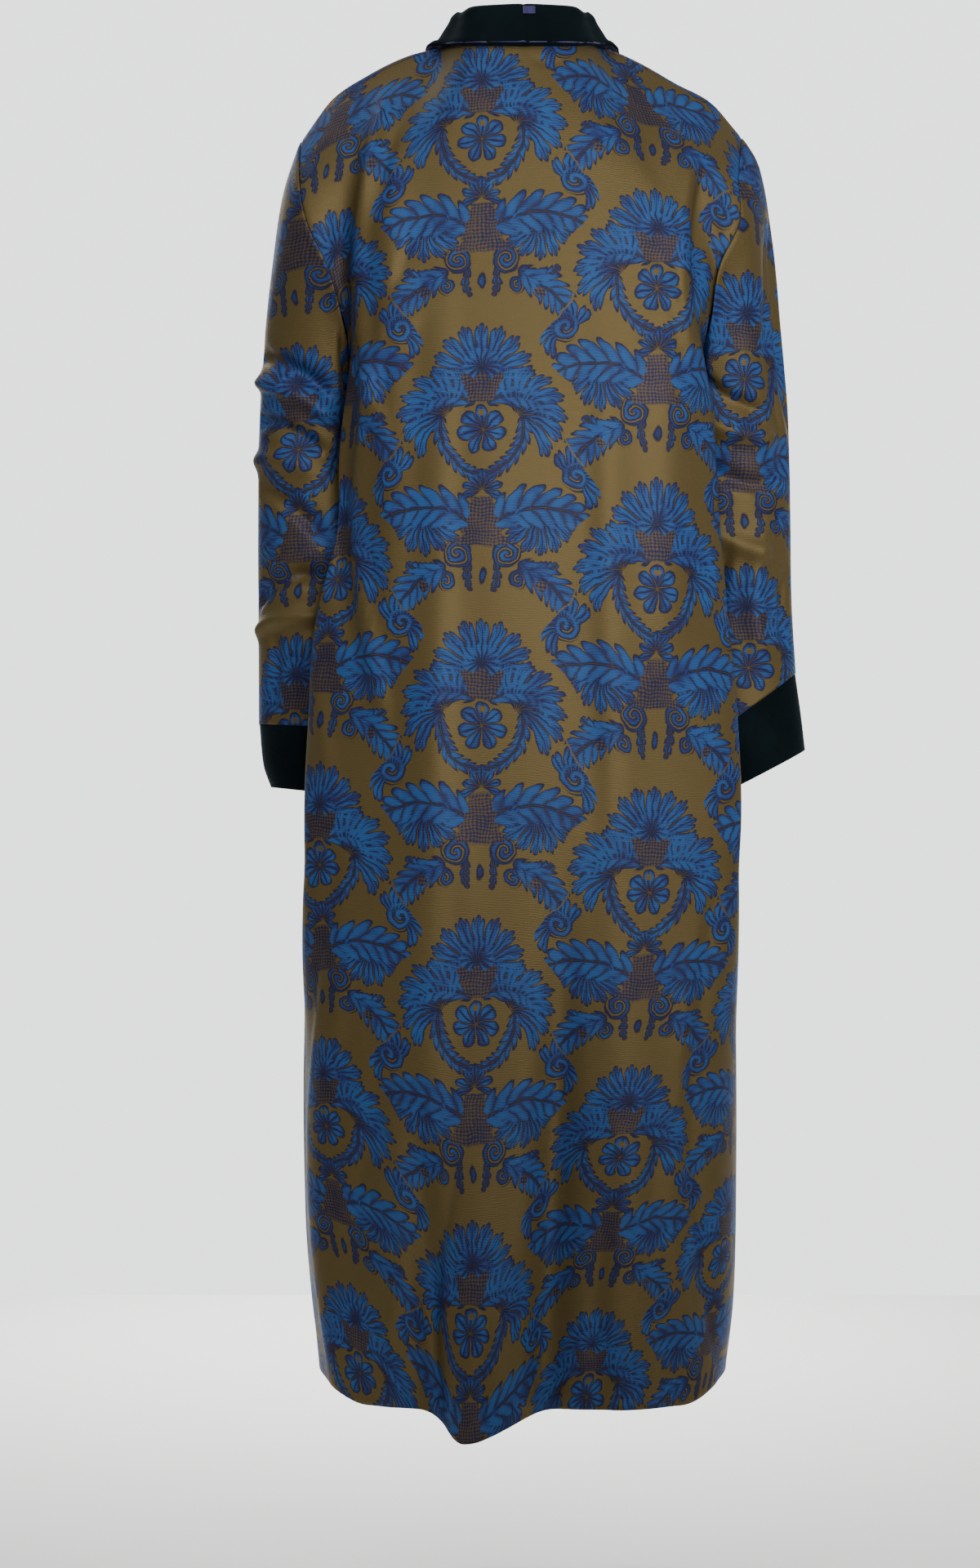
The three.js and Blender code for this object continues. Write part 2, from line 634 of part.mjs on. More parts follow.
// Behind the neck the collar starts from the back's top edge, and turns to run along the shoulder.
function neckLine(side, n, neckRows, station) {
  const turn = (n / neckRows) ** 2;
  const across = (n * 2) / neckRows;
  const point = (a, b) => backPoint(side, { rise: Math.min(b, 1), z: UNDERARM_Z }, Math.max(a, 0));
  const place = (d) => [across + (turn * d) / NECK_TURN_LENGTH, 1 - ((1 - turn) * d) / NECK_DROP_LENGTH];
  const lapNormal = (d) => {
    const [a, b] = place(d);
    return surfaceNormal(point, Math.max(a, DIFFERENCE), Math.min(b, 1 - DIFFERENCE), -side);
  };
  return collarLine(side, station, (d) => point(...place(d)), lapNormal);
}

// In front it starts from the opening edge of the front at one grid row.
function openingLine(side, row, station) {
  const point = (a, b) => {
    if (row.rise <= 0) return frontPoint(side, { rise: 0, z: row.z + 100 * b }, a);
    return frontPoint(side, { rise: THREE.MathUtils.clamp(row.rise + b, 0, 1), z: row.z }, a);
  };
  const width = point(1 / 3, 0).distanceTo(point(0, 0)) * 3;
  const lapNormal = (d) => {
    if (row.rise === 1) return shoulderUp(side).multiplyScalar(SEAM_CROWN);
    return surfaceNormal(point, d / width + DIFFERENCE, 0, side);
  };
  return collarLine(side, station, (d) => point(d / width, 0), lapNormal);
}

function collarGrid() {
  const neckRows = 2 * NECK_STEPS;
  const total = neckRows + ROWS.length - 1 - COLLAR_LAST_ROW;
  const halves = [LEFT, RIGHT].map((side) => {
    const lines = [];
    for (let n = 0; n < neckRows; n += 1) lines.push(neckLine(side, n, neckRows, n / total));
    for (let n = neckRows; n <= total; n += 1) {
      lines.push(openingLine(side, ROWS[ROWS.length - 1 - (n - neckRows)], n / total));
    }
    return lines;
  });
  return [...halves[0].reverse(), ...halves[1].slice(1)];
}

function collar() {
  const outer = collarGrid();
  return wall(outer, insideOf(outer, gridNormals(outer, false, 1), VELVET_WALL), false);
}

// A small flat tab on the collar's outside, under its top edge at the middle of the back.
function neckTab() {
  const geometry = new THREE.BoxGeometry(TAB.width, TAB.thickness, TAB.height);
  const stand = COLLAR[0];
  geometry.rotateX(Math.atan2(-stand.standY, stand.standZ));
  const grid = collarGrid();
  const line = grid[(grid.length - 1) / 2];
  const last = line.length - 1;
  const seat = line[last - 1].clone().lerp(line[last], TAB.seat);
  geometry.translate(TAB.x, seat.y + TAB.standOff + TAB.thickness / 2, seat.z);
  return geometry;
}

const group = new THREE.Group();

function add(name, geometry, material) {
  const mesh = new THREE.Mesh(geometry, material);
  mesh.name = name;
  group.add(mesh);
}

add('back', back(), DAMASK);
add('front_left', front(LEFT), DAMASK);
add('front_right', front(RIGHT), DAMASK);
add('sleeve_left', sleeve(LEFT), DAMASK);
add('sleeve_right', sleeve(RIGHT), DAMASK);
add('cuff_left', cuff(LEFT), VELVET);
add('cuff_right', cuff(RIGHT), VELVET);
add('collar', collar(), VELVET);
add('neck_tab', neckTab(), LINING);

export default group;
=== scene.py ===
"""A long damask robe with a velvet shawl collar and velvet cuffs, worn and hollow, seen from behind.

Every piece of cloth is a surface of two parameters: `across` (round the body or the sleeve) and a row
(hem to shoulder, or shoulder to cuff). The tables hold its sizes in millimetres, in the part's own frame:
+Z up, the robe's front faces -Y, the wearer's left is +X, and the origin is the middle of the neck's base.
"""
import bpy
import math
import numpy as np
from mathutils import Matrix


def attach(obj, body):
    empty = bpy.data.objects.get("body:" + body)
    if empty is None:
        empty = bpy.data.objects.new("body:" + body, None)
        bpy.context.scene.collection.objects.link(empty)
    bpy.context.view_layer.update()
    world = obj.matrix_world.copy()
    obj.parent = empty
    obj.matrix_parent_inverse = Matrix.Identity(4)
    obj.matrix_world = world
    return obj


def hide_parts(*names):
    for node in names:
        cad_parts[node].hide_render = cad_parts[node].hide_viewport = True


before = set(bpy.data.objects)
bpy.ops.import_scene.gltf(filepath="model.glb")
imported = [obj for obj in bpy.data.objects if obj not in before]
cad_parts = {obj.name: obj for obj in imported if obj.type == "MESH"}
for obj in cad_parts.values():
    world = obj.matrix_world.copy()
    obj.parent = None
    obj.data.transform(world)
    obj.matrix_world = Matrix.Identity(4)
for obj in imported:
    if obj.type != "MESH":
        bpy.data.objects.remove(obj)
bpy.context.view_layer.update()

MM = 0.001
LEFT, RIGHT = 1, -1
HEM_Z = -1414.0
UNDERARM_Z = -340.0
HEM_REACH = 420.0         # how far above the hem its unevenness dies out
HEM_SIDE_RAISE = 28.0
TIP_X, TIP_DROP = 62.0, 34.0          # the fold behind that hangs lowest
TIP_SPREAD_OUT, TIP_SPREAD_IN = 24.0, 58.0
INNER_SHARE, INNER_FALL = 0.56, 0.28  # place and depth of the station between middle and mid
ARMHOLE_STEPS = 10
CLOTH_WALL = 1.8
VELVET_WALL = 2.6
SKIRT_ROWS = 248          # fine rows from hem to underarm
YOKE_ROWS = 72            # fine rows from underarm to shoulder
BACK_COLUMNS = 192
FRONT_COLUMNS = 96
SLEEVE_ROWS = 176
SLEEVE_COLUMNS = 144
CUFF_ROWS = 36

# ------------------------------------------------------------------ camera
CAMERA_DISTANCE = 3.6
CAMERA_X, CAMERA_Z = 0.0344, -0.7826
FRAME_HEIGHT = 1.6512     # metres seen from top to bottom at the origin's depth
SENSOR = 36.0


def make_camera():
    """Level camera behind the wearer. Its long side, the height, sees FRAME_HEIGHT at the robe."""
    data = bpy.data.cameras.new("camera")
    data.sensor_width = SENSOR
    data.lens = SENSOR * CAMERA_DISTANCE / FRAME_HEIGHT
    camera = bpy.data.objects.new("camera", data)
    camera.location = (CAMERA_X, CAMERA_DISTANCE, CAMERA_Z)
    camera.rotation_euler = (math.pi / 2, 0, math.pi)
    bpy.context.collection.objects.link(camera)
    bpy.context.scene.camera = camera


make_camera()


# ------------------------------------------------------------------ sizes of the cut
def table(columns, rows):
    """Named columns from rows: one array for each name."""
    values = np.array(rows, float)
    return {name: values[:, index] for index, name in enumerate(columns.split())}


LEVELS = table(
    "z backY midX midY cornerX cornerRX cornerY seamX seamRX seamY hipX hipY foreX foreY edgeX edgeY",
    [
        [-1414, 150, 111, 146, 198, 196, 98, 213, 212, 5, 186, -92, 106, -140, 14, -150],
        [-1340, 149, 112, 144, 205, 202, 97, 222, 219, 5, 190, -91, 106, -138, 14, -147],
        [-1250, 147, 113, 142, 208, 203, 95, 228, 222, 5, 190, -90, 106, -134, 14, -143],
        [-1050, 142, 114, 136, 209, 203, 90, 229, 222, 6, 186, -88, 105, -128, 14, -136],
        [-900, 138, 114, 131, 220, 216, 80, 216, 212, 8, 172, -82, 103, -122, 14, -130],
        [-820, 134, 114, 127, 226, 225, 66, 164, 164, -18, 146, -82, 100, -118, 14, -126],
        [-720, 131, 113, 123, 223, 223, 54, 148, 148, -30, 140, -84, 98, -115, 14, -123],
        [-620, 128, 110, 119, 213, 214, 50, 147, 147, -32, 140, -86, 96, -113, 14, -121],
        [-520, 125, 106, 116, 196, 205, 50, 145, 146, -32, 138, -86, 95, -112, 14, -121],
        [-430, 121, 103, 113, 190, 199, 54, 144, 145, -30, 137, -84, 95, -111, 15, -121],
        [-378, 117, 101, 110, 185, 197, 62, 150, 152, -24, 142, -80, 96, -110, 20, -120],
        [-340, 113, 99, 107, 175, 179, 68, 181, 185, -8, 154, -76, 98, -109, 26, -117],
    ],
)
YOKE = table(
    "rise backY backZ innerX innerY innerZ midX midY midZ bladeX bladeRX bladeY bladeZ",
    [
        [0.25, 113, -258, 57, 111, -259, 101, 106, -262, 162, 176, 86, -268],
        [0.5, 109, -178, 60, 107, -180, 105, 100, -186, 172, 176, 80, -205],
        [0.75, 98, -98, 62, 94, -100, 104, 78, -106, 174, 174, 58, -128],
        [1, 72, -18.5, 57, 58, -16, 88, -2, -6, 162, 162, -8, -35],
    ],
)
CHEST = table(
    "rise hipX hipY hipZ foreX foreY foreZ edgeX edgeY edgeZ",
    [
        [0.25, 166, -86, -262, 103, -104, -262, 36, -110, -250],
        [0.5, 176, -76, -192, 112, -93, -180, 50, -95, -160],
        [0.75, 186, -52, -124, 122, -64, -98, 68, -66, -78],
        [1, 190, -8, -52, 137, -7, -22, 88, -2, -6],
    ],
)
SHOULDER = {
    LEFT: [[88, -2, -6], [125, -7, -15.5], [162, -8, -33.5], [202, -8, -60.5], [234, -8, -105]],
    RIGHT: [[88, -2, -6], [125, -7, -22], [162, -8, -43], [200, -8, -64], [232, -8, -101]],
}
ARMHOLE = {
    LEFT: [
        [234, -8, -105], [234, 42, -152], [225, 62, -200], [203, 64, -248], [187, 46, -302],
        [181, -8, -340], [184, -50, -305], [195, -74, -255], [212, -76, -205], [228, -50, -145],
    ],
    RIGHT: [
        [232, -8, -101], [225, 44, -152], [225, 62, -200], [204, 65, -246], [195, 50, -300],
        [185, -8, -340], [186, -50, -305], [196, -74, -255], [212, -76, -205], [228, -50, -142],
    ],
}
SLEEVE = {
    LEFT: table("along outX outY outZ inX inY inZ half", [
        [0, 234, -8, -105, 181, -8, -340, 70],
        [0.1, 252, -12, -160, 178, -20, -370, 64],
        [0.2, 263, -18, -228, 171, -30, -408, 60],
        [0.32, 272, -26, -304, 164, -39, -455, 58],
        [0.48, 279, -36, -405, 157, -48, -520, 57],
        [0.64, 281, -46, -515, 157, -54, -590, 56],
        [0.82, 281, -55, -625, 160, -60, -660, 57],
        [1, 281, -60, -719, 164, -64, -724, 58],
    ]),
    RIGHT: table("along outX outY outZ inX inY inZ half", [
        [0, 232, -8, -101, 185, -8, -340, 70],
        [0.08, 250, -10, -134, 182, -18, -366, 64],
        [0.2, 265, -18, -216, 174, -31, -408, 60],
        [0.32, 273, -26, -296, 167, -40, -455, 59],
        [0.48, 282, -36, -390, 160, -48, -522, 57],
        [0.64, 285, -46, -490, 160, -54, -598, 56],
        [0.82, 287, -54, -585, 164, -60, -676, 57],
        [1, 292, -60, -664, 172, -66, -752, 58],
    ]),
}
CUFF = {
    LEFT: table("along outX outY outZ inX inY inZ half", [
        [0, 281, -60, -719, 164, -64, -724, 58],
        [0.6, 277, -62, -762, 166, -66, -770, 58],
        [1, 269, -63, -786, 168, -68, -796, 56],
    ]),
    RIGHT: table("along outX outY outZ inX inY inZ half", [
        [0, 292, -60, -664, 172, -66, -752, 58],
        [0.6, 299, -63, -712, 171, -69, -790, 60],
        [1, 303, -64, -746, 171, -70, -814, 60],
    ]),
}
COLLAR = table("station lap standX standY standZ", [
    [0, 3, 0, -15, 43],
    [0.11, 3, -6, -12, 40],
    [0.17, 4, -14, -4, 34],
    [0.22, 11, -19, 6, 27],
    [0.28, 24, -18, 3, 25],
    [0.36, 42, -15, -3, 17],
    [0.5, 58, -10, -6, 6],
    [0.72, 56, -7, -3, 0],
    [0.9, 28, -6, -2, 0],
    [1, 8, -5, -1, 0],
])

# Folds that hang: a trough (negative) or ridge whose middle runs from x0 at z0 down to x1 at z1.
BACK_FOLDS = table("x0 z0 x1 z1 width depth fade", [
    [184, -120, 188, -640, 24, -24, 130],
    [140, -110, 140, -700, 24, 8, 110],
    [-190, -120, -194, -400, 16, -10, 90],
    [-150, -110, -152, -700, 28, 8, 120],
    [-44, -790, -22, -1430, 22, -20, 420],
    [110, -1040, 90, -1430, 17, -14, 260],
    [45, -1050, 52, -1430, 30, 9, 300],
    [-120, -860, -118, -1430, 40, 7, 400],
])
FRONT_FOLDS = table("x0 z0 x1 z1 width depth fade", [
    [92, -560, 84, -1430, 26, 11, 420],
    [-86, -620, -92, -1430, 28, 10, 420],
    [142, -800, 138, -1430, 20, -8, 300],
    [-140, -760, -136, -1430, 20, -8, 300],
])


# ------------------------------------------------------------------ interpolation
def keyed(rows, key, column, at):
    """Cubic Hermite value of one column at `at`, each row's slope taken from its two neighbours."""
    k, v = rows[key], rows[column]
    last = len(k) - 1
    at = np.asarray(at, float)
    i = np.clip(np.searchsorted(k, at, side="left") - 1, 0, last - 1)
    index = np.arange(last + 1)
    a, b = np.maximum(index - 1, 0), np.minimum(index + 1, last)
    slope = (v[b] - v[a]) / (k[b] - k[a])
    span = k[i + 1] - k[i]
    t = np.clip((at - k[i]) / span, 0, 1)
    t2, t3 = t * t, t ** 3
    return ((2 * t3 - 3 * t2 + 1) * v[i] + (t3 - 2 * t2 + t) * span * slope[i]
            + (3 * t2 - 2 * t3) * v[i + 1] + (t3 - t2) * span * slope[i + 1])


def between(a, b, c, d, t):
    """Uniform Catmull-Rom point between b and c, t from 0 to 1."""
    t2, t3 = t * t, t ** 3
    return 0.5 * (a * (2 * t2 - t - t3) + b * (2 - 5 * t2 + 3 * t3)
                  + c * (t + 4 * t2 - 3 * t3) + d * (t3 - t2))


def on_chain(chain, at):
    """Points of rows of Catmull-Rom chains. chain is (rows, controls, 3), its first and last controls
    lie beyond the ends, and `at` (columns) counts from the second control."""
    count = chain.shape[1]
    at = np.asarray(at, float)
    i = np.clip(np.floor(at).astype(int), 0, count - 4)
    t = (at - i)[None, :, None]
    return between(chain[:, i], chain[:, i + 1], chain[:, i + 2], chain[:, i + 3], t)


def smooth(low, high, value):
    """Smooth step from 0 at low to 1 at high."""
    t = np.clip((value - low) / (high - low), 0, 1)
    return t * t * (3 - 2 * t)


def beyond(end, inner):
    """The point as far past an end as the inner one is before it."""
    return 2 * end - inner


def armhole(side, at):
    """Closed Catmull-Rom curve through the armhole's ten points, `at` 0 at the shoulder, 10 underarm."""
    ring = np.array(ARMHOLE[side], float) * (side, 1, 1)
    place = np.asarray(at, float) * len(ring) / (2 * ARMHOLE_STEPS)
    i = np.floor(place).astype(int)
    a, b, c, d = (ring[(i + n) % len(ring)] for n in (-1, 0, 1, 2))
    return between(a, b, c, d, (place - i)[..., None])


def shoulder(side, t):
    """Shoulder seam, t from 0 at the neck to 1 at the armhole."""
    chain = np.array(SHOULDER[side], float) * (side, 1, 1)
    chain = np.vstack([beyond(chain[0], chain[1]), chain, beyond(chain[-1], chain[-2])])
    return on_chain(chain[None], np.asarray(t, float) * (len(chain) - 3))[0]


def points(*columns):
    """Points from their x, y and z, each a number or one value for each row."""
    return np.stack(np.broadcast_arrays(*columns), axis=-1)


def risen(rows, start, column, at):
    """A yoke column with its underarm value put before its first row."""
    joined = {"rise": np.append(0.0, rows["rise"]), column: np.append(start, rows[column])}
    return keyed(joined, "rise", column, at)


def back_stations(side, z, rise):
    """Control points of half the back at each row: middle, inner, mid, corner and edge."""
    def low(at):
        level = {c: keyed(LEVELS, "z", c, at) for c in LEVELS if c != "z"}
        corner = level["cornerX" if side == LEFT else "cornerRX"]
        seam = level["seamX" if side == LEFT else "seamRX"]
        back, mid_x, mid_y = level["backY"], level["midX"], level["midY"]
        return [points(0 * at, back, at),
                points(side * INNER_SHARE * mid_x, back - INNER_FALL * (back - mid_y), at),
                points(side * mid_x, mid_y, at),
                points(side * corner, level["cornerY"], at),
                points(side * seam, level["seamY"], at)]
    under = [p[0] for p in low(np.array([UNDERARM_Z]))]
    blade = "bladeX" if side == LEFT else "bladeRX"

    def yoke(column, start):
        return risen(YOKE, start, column, rise)
    high = [points(0 * rise, yoke("backY", under[0][1]), yoke("backZ", UNDERARM_Z))]
    for name, x_name, start in zip(("inner", "mid", "blade"), ("innerX", "midX", blade), under[1:]):
        high.append(points(side * yoke(x_name, side * start[0]), yoke(name + "Y", start[1]),
                           yoke(name + "Z", UNDERARM_Z)))
    high.append(armhole(side, ARMHOLE_STEPS * (1 - rise)))
    upper = (rise > 0)[:, None]
    return [np.where(upper, h, l) for h, l in zip(high, low(z))]


def front_stations(side, z, rise):
    """Control points of one front at each row: opening edge, fore, hip and side edge."""
    def low(at):
        level = {c: keyed(LEVELS, "z", c, at) for c in LEVELS if c != "z"}
        seam = level["seamX" if side == LEFT else "seamRX"]
        return [points(side * level["edgeX"], level["edgeY"], at),
                points(side * level["foreX"], level["foreY"], at),
                points(side * level["hipX"], level["hipY"], at),
                points(side * seam, level["seamY"], at)]
    under = [p[0] for p in low(np.array([UNDERARM_Z]))]

    def chest(name, start):
        x, y, z0 = start
        return points(side * risen(CHEST, side * x, name + "X", rise), risen(CHEST, y, name + "Y", rise),
                      risen(CHEST, z0, name + "Z", rise))
    high = [chest("edge", under[0]), chest("fore", under[1]), chest("hip", under[2]),
            armhole(side, ARMHOLE_STEPS * (1 + rise))]
    upper = (rise > 0)[:, None]
    return [np.where(upper, h, l) for h, l in zip(high, low(z))]


TOP_Z, TOP_RISE = np.array([UNDERARM_Z]), np.array([1.0])


def back_points(side, z, rise, across):
    """Smooth points of half the back: rows (z, rise) by columns, `across` from 0 at the middle to 4 at
    the edge. Each row is a Catmull-Rom curve through its stations, and the last is the shoulder seam."""
    own = back_stations(side, z, rise)
    other = back_stations(-side, z, rise)
    front = front_stations(side, z, rise)
    crease = (rise ** 3)[:, None]
    fade = smooth(0, 0.25, rise)[:, None]
    after = front[2] * (1 - fade) + beyond(own[4], own[3]) * fade
    neck = [other[1], own[0], own[1], own[2], own[3] * (1 - crease) + beyond(own[2], own[1]) * crease]
    outer = [own[1] * (1 - crease) + beyond(own[2], own[3]) * crease, own[2], own[3], own[4], after]
    inside = on_chain(np.stack(neck, 1), np.minimum(across, 2))
    outside = on_chain(np.stack(outer, 1), np.maximum(across, 2) - 2)
    top = back_stations(side, TOP_Z, TOP_RISE)
    chain = [beyond(top[2], top[3]), top[2], top[3], top[4], beyond(top[4], top[3])]
    at = np.maximum(across, 2) - 2
    miss = shoulder(side, at / 2) - on_chain(np.stack(chain, 1), at)[0]
    outside = outside + (rise ** 4)[:, None, None] * miss[None]
    return np.where((across <= 2)[None, :, None], inside, outside)


def front_points(side, z, rise, across):
    """Smooth points of one front, in the same way: `across` from 0 at the opening edge to 1 at the side."""
    own = front_stations(side, z, rise)
    back = back_stations(side, z, rise)
    fade = smooth(0, 0.25, rise)[:, None]
    after = back[3] * (1 - fade) + beyond(own[3], own[2]) * fade
    p = on_chain(np.stack([beyond(own[0], own[1]), *own, after], 1), across * 3)
    top = front_stations(side, TOP_Z, TOP_RISE)
    chain = [beyond(top[0], top[1]), *top, beyond(top[3], top[2])]
    miss = shoulder(side, across) - on_chain(np.stack(chain, 1), across * 3)[0]
    return p + (rise ** 4)[:, None, None] * miss[None]


def fold_depth(folds, x, z):
    """Sum of soft troughs and ridges, each depth * exp(-((x - middle) / width)^2), faded in from z0."""
    depth = 0 * x
    for x0, z0, x1, z1, width, deep, fade in zip(*folds.values()):
        middle = x0 + (x1 - x0) * np.clip((z - z0) / (z1 - z0), 0, 1)
        end = 1 if z1 < HEM_Z else smooth(0, fade, z - z1)
        depth = depth + deep * smooth(0, fade, z0 - z) * end * np.exp(-(((x - middle) / width) ** 2))
    return depth


def draped(p):
    """Lays the hanging folds and the uneven hem over a smooth point of the body."""
    x, y, z = p[..., 0], p[..., 1], p[..., 2]
    behind = smooth(20, 75, y)
    before = smooth(40, 90, -y)
    hanging = 1 - smooth(HEM_Z, HEM_Z + HEM_REACH, z)
    spread = np.where(x > TIP_X, TIP_SPREAD_OUT, TIP_SPREAD_IN)
    tip = TIP_DROP * behind * np.exp(-(((x - TIP_X) / spread) ** 2))
    raised = HEM_SIDE_RAISE * smooth(160, 226, np.abs(x))
    y = y + behind * fold_depth(BACK_FOLDS, x, z) - before * fold_depth(FRONT_FOLDS, x, z)
    return np.stack([x, y, z + hanging * (raised - tip)], -1)


def ring_points(side, rows, along, turn):
    """Ovals between the outer and inner side of a sleeve or cuff; turn 0 is outside, 0.25 is behind."""
    v = {c: keyed(rows, "along", c, along)[:, None] for c in rows if c != "along"}
    out = np.stack([side * v["outX"], v["outY"], v["outZ"]], -1)
    inside = np.stack([side * v["inX"], v["inY"], v["inZ"]], -1)
    angle = 2 * np.pi * np.asarray(turn, float)[None, :, None]
    depth = v["half"][..., None] * np.array([0, 1, 0])
    return (out + inside) / 2 + (out - inside) / 2 * np.cos(angle) + depth * np.sin(angle)


def sleeve_points(side, along, turn):
    """Sleeve rings; the first lies exactly on the armhole, and that fit fades out down the upper arm."""
    p = ring_points(side, SLEEVE[side], along, turn)
    first = ring_points(side, SLEEVE[side], np.array([0.0]), turn)[0]
    miss = armhole(side, turn * 2 * ARMHOLE_STEPS) - first
    fade = (1 - smooth(0, 0.42, along)) ** 1.5
    return p + fade[:, None, None] * miss[None]


# ------------------------------------------------------------------ meshes
def grid_normals(p, around=False):
    """Unit normals of a grid from its neighbours' differences: rows up crossed with columns."""
    up = np.gradient(p, axis=0)
    if around:
        side = np.roll(p, -1, 1) - np.roll(p, 1, 1)
    else:
        side = np.gradient(p, axis=1)
    n = np.cross(up, side)
    return n / np.linalg.norm(n, axis=-1, keepdims=True)


def tube_normals(p, side):
    """Outward normals of a tube's grid, whose last column lies on its first."""
    n = side * grid_normals(p[:, :-1], True)
    return np.concatenate([n, n[:, :1]], 1)


def steps_along(p, axis):
    """Path length from the first row or column, along one axis of a grid."""
    seg = np.linalg.norm(np.diff(p, axis=axis), axis=-1)
    zero = np.zeros_like(np.take(seg, [0], axis=axis))
    return np.concatenate([zero, np.cumsum(seg, axis=axis)], axis=axis)


def cloth_shell(name, outer, normals, wall, uv, material, inside_material, around=False):
    """A closed thin wall: the fine outer grid, an inner grid of every second point, and a rim of
    five-cornered faces between them. uv is (rows, columns, 2), in metres of cloth."""
    rows, columns = outer.shape[:2]
    inner = (outer - normals * wall)[::2, ::2]
    small_rows, small_columns = inner.shape[:2]
    shift = rows * columns
    big = np.arange(shift).reshape(rows, columns)
    small = shift + np.arange(small_rows * small_columns).reshape(small_rows, small_columns)
    if around:
        big = np.hstack([big, big[:, :1]])
        small = np.hstack([small, small[:, :1]])

    def quads(index, reverse):
        a, b, c, d = index[:-1, :-1], index[:-1, 1:], index[1:, 1:], index[1:, :-1]
        order = (d, c, b, a) if reverse else (a, b, c, d)
        return np.stack(order, -1).reshape(-1, 4)

    def rim(edge, mate, reverse):
        a, m, b = edge[:-1:2], edge[1::2], edge[2::2]
        c, d = mate[1:], mate[:-1]
        order = (d, c, b, m, a) if reverse else (a, m, b, c, d)
        return np.stack(order, -1)

    faces_out = quads(big, False)
    faces_in = quads(small, True)
    rims = [rim(big[0], small[0], True), rim(big[-1], small[-1], False)]
    if not around:
        rims += [rim(big[:, 0], small[:, 0], False), rim(big[:, -1], small[:, -1], True)]
    rims = np.vstack(rims)
    verts = np.vstack([outer.reshape(-1, 3), inner.reshape(-1, 3)]) * MM
    middle = verts[faces_out[:, 0]]
    direction = np.cross(verts[faces_out[:, 1]] - middle, verts[faces_out[:, 3]] - middle)
    outward = normals.reshape(-1, 3)[faces_out[:, 0]]
    faces = [faces_out, faces_in, rims]
    if (direction * outward).sum() < 0:
        faces = [f[:, ::-1] for f in faces]
    mesh = bpy.data.meshes.new(name)
    mesh.from_pydata(verts.tolist(), [], [f for group in faces for f in group.tolist()])
    mesh.polygons.foreach_set("use_smooth", np.ones(len(mesh.polygons), bool))
    slots = np.zeros(len(mesh.polygons), np.int32)
    slots[len(faces_out):len(faces_out) + len(faces_in)] = 1
    mesh.materials.append(material)
    mesh.materials.append(inside_material)
    mesh.polygons.foreach_set("material_index", slots)
    add_uv(mesh, uv, around)
    mesh.update()
    piece = bpy.data.objects.new(name, mesh)
    bpy.context.collection.objects.link(piece)
    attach(piece, "root")
    return piece


def add_uv(mesh, uv, around):
    """Writes the cloth's own coordinates to the UV map `grain`; round a tube the last column's are one
    girth further than the first's."""
    rows, columns = uv.shape[:2]
    flat = uv[:, :columns - 1] if around else uv
    width = columns - 1 if around else columns
    all_uv = np.vstack([flat.reshape(-1, 2), flat[::2, ::2].reshape(-1, 2)])
    layer = mesh.uv_layers.new(name="grain")
    loops = np.empty(len(mesh.loops), np.int32)
    mesh.loops.foreach_get("vertex_index", loops)
    values = all_uv[loops]
    if around:
        girth = uv[:, -1, 0] - uv[:, 0, 0]
        row_of = np.concatenate([np.repeat(np.arange(rows), width),
                                 np.repeat(np.arange(0, rows, 2), (width + 1) // 2)])
        column_of = np.concatenate([np.tile(np.arange(width), rows),
                                    np.tile(np.arange(0, width, 2), (rows + 1) // 2)])
        total = np.empty(len(mesh.polygons), np.int32)
        mesh.polygons.foreach_get("loop_total", total)
        face_of = np.repeat(np.arange(len(total)), total)
        highest = np.maximum.reduceat(column_of[loops], np.append(0, np.cumsum(total)[:-1]))
        wraps = (column_of[loops] == 0) & (highest[face_of] > width // 2)
        values[:, 0] += np.where(wraps, girth[row_of[loops]], 0)
    layer.data.foreach_set("uv", values.astype(np.float32).ravel())


# ------------------------------------------------------------------ shader arithmetic
class Field:
    """A value in a node tree. Arithmetic on it adds Math nodes, so formulas read as formulas."""

    def __init__(self, tree, socket):
        self.tree, self.socket = tree, socket

    def math(self, operation, *others):
        node = self.tree.nodes.new("ShaderNodeMath")
        node.operation = operation
        for index, value in enumerate((self, *others)):
            if isinstance(value, Field):
                self.tree.links.new(value.socket, node.inputs[index])
            else:
                node.inputs[index].default_value = value
        return Field(self.tree, node.outputs[0])

    def __add__(self, other):
        return self.math("ADD", other)

    def __sub__(self, other):
        return self.math("SUBTRACT", other)

    def __rsub__(self, other):
        return self.times_plus(-1.0, other)

    def __mul__(self, other):
        return self.math("MULTIPLY", other)

    def __abs__(self):
        return self.math("ABSOLUTE")

    def times_plus(self, factor, term):
        return self.math("MULTIPLY_ADD", factor, term)

    def least(self, other):
        return self.math("MINIMUM", other)

    def most(self, other):
        return self.math("MAXIMUM", other)

    def sin(self):
        return self.math("SINE")

    def cos(self):
        return self.math("COSINE")

    def root(self):
        return self.math("SQRT")

    def fract(self):
        return self.math("FRACT")

    def zigzag(self, half):
        """Distance from the nearest multiple of twice `half`."""
        return self.math("PINGPONG", half)

    def above(self, other):
        return self.math("GREATER_THAN", other)

    def ramp(self, low, high):
        """Smooth step from 0 at low to 1 at high."""
        node = self.tree.nodes.new("ShaderNodeMapRange")
        node.interpolation_type = "SMOOTHSTEP"
        self.tree.links.new(self.socket, node.inputs["Value"])
        node.inputs["From Min"].default_value = low
        node.inputs["From Max"].default_value = high
        return Field(self.tree, node.outputs["Result"])


TAU = 2 * math.pi


def radius(x, y):
    return x.times_plus(x, y * y).root()


def seen_from(x, y, cx, cy):
    """Offsets of (x, y) from (cx, cy), and their distance."""
    dx, dy = x - cx if cx else x, y - cy
    return dx, dy, radius(dx, dy)


def lobe_of(apart):
    """Rounded lobe of a tooth: 1 in its middle and 0 where `apart`, the distance from it, is a half."""
    return (apart * apart).times_plus(-4.0, 1.0).root()


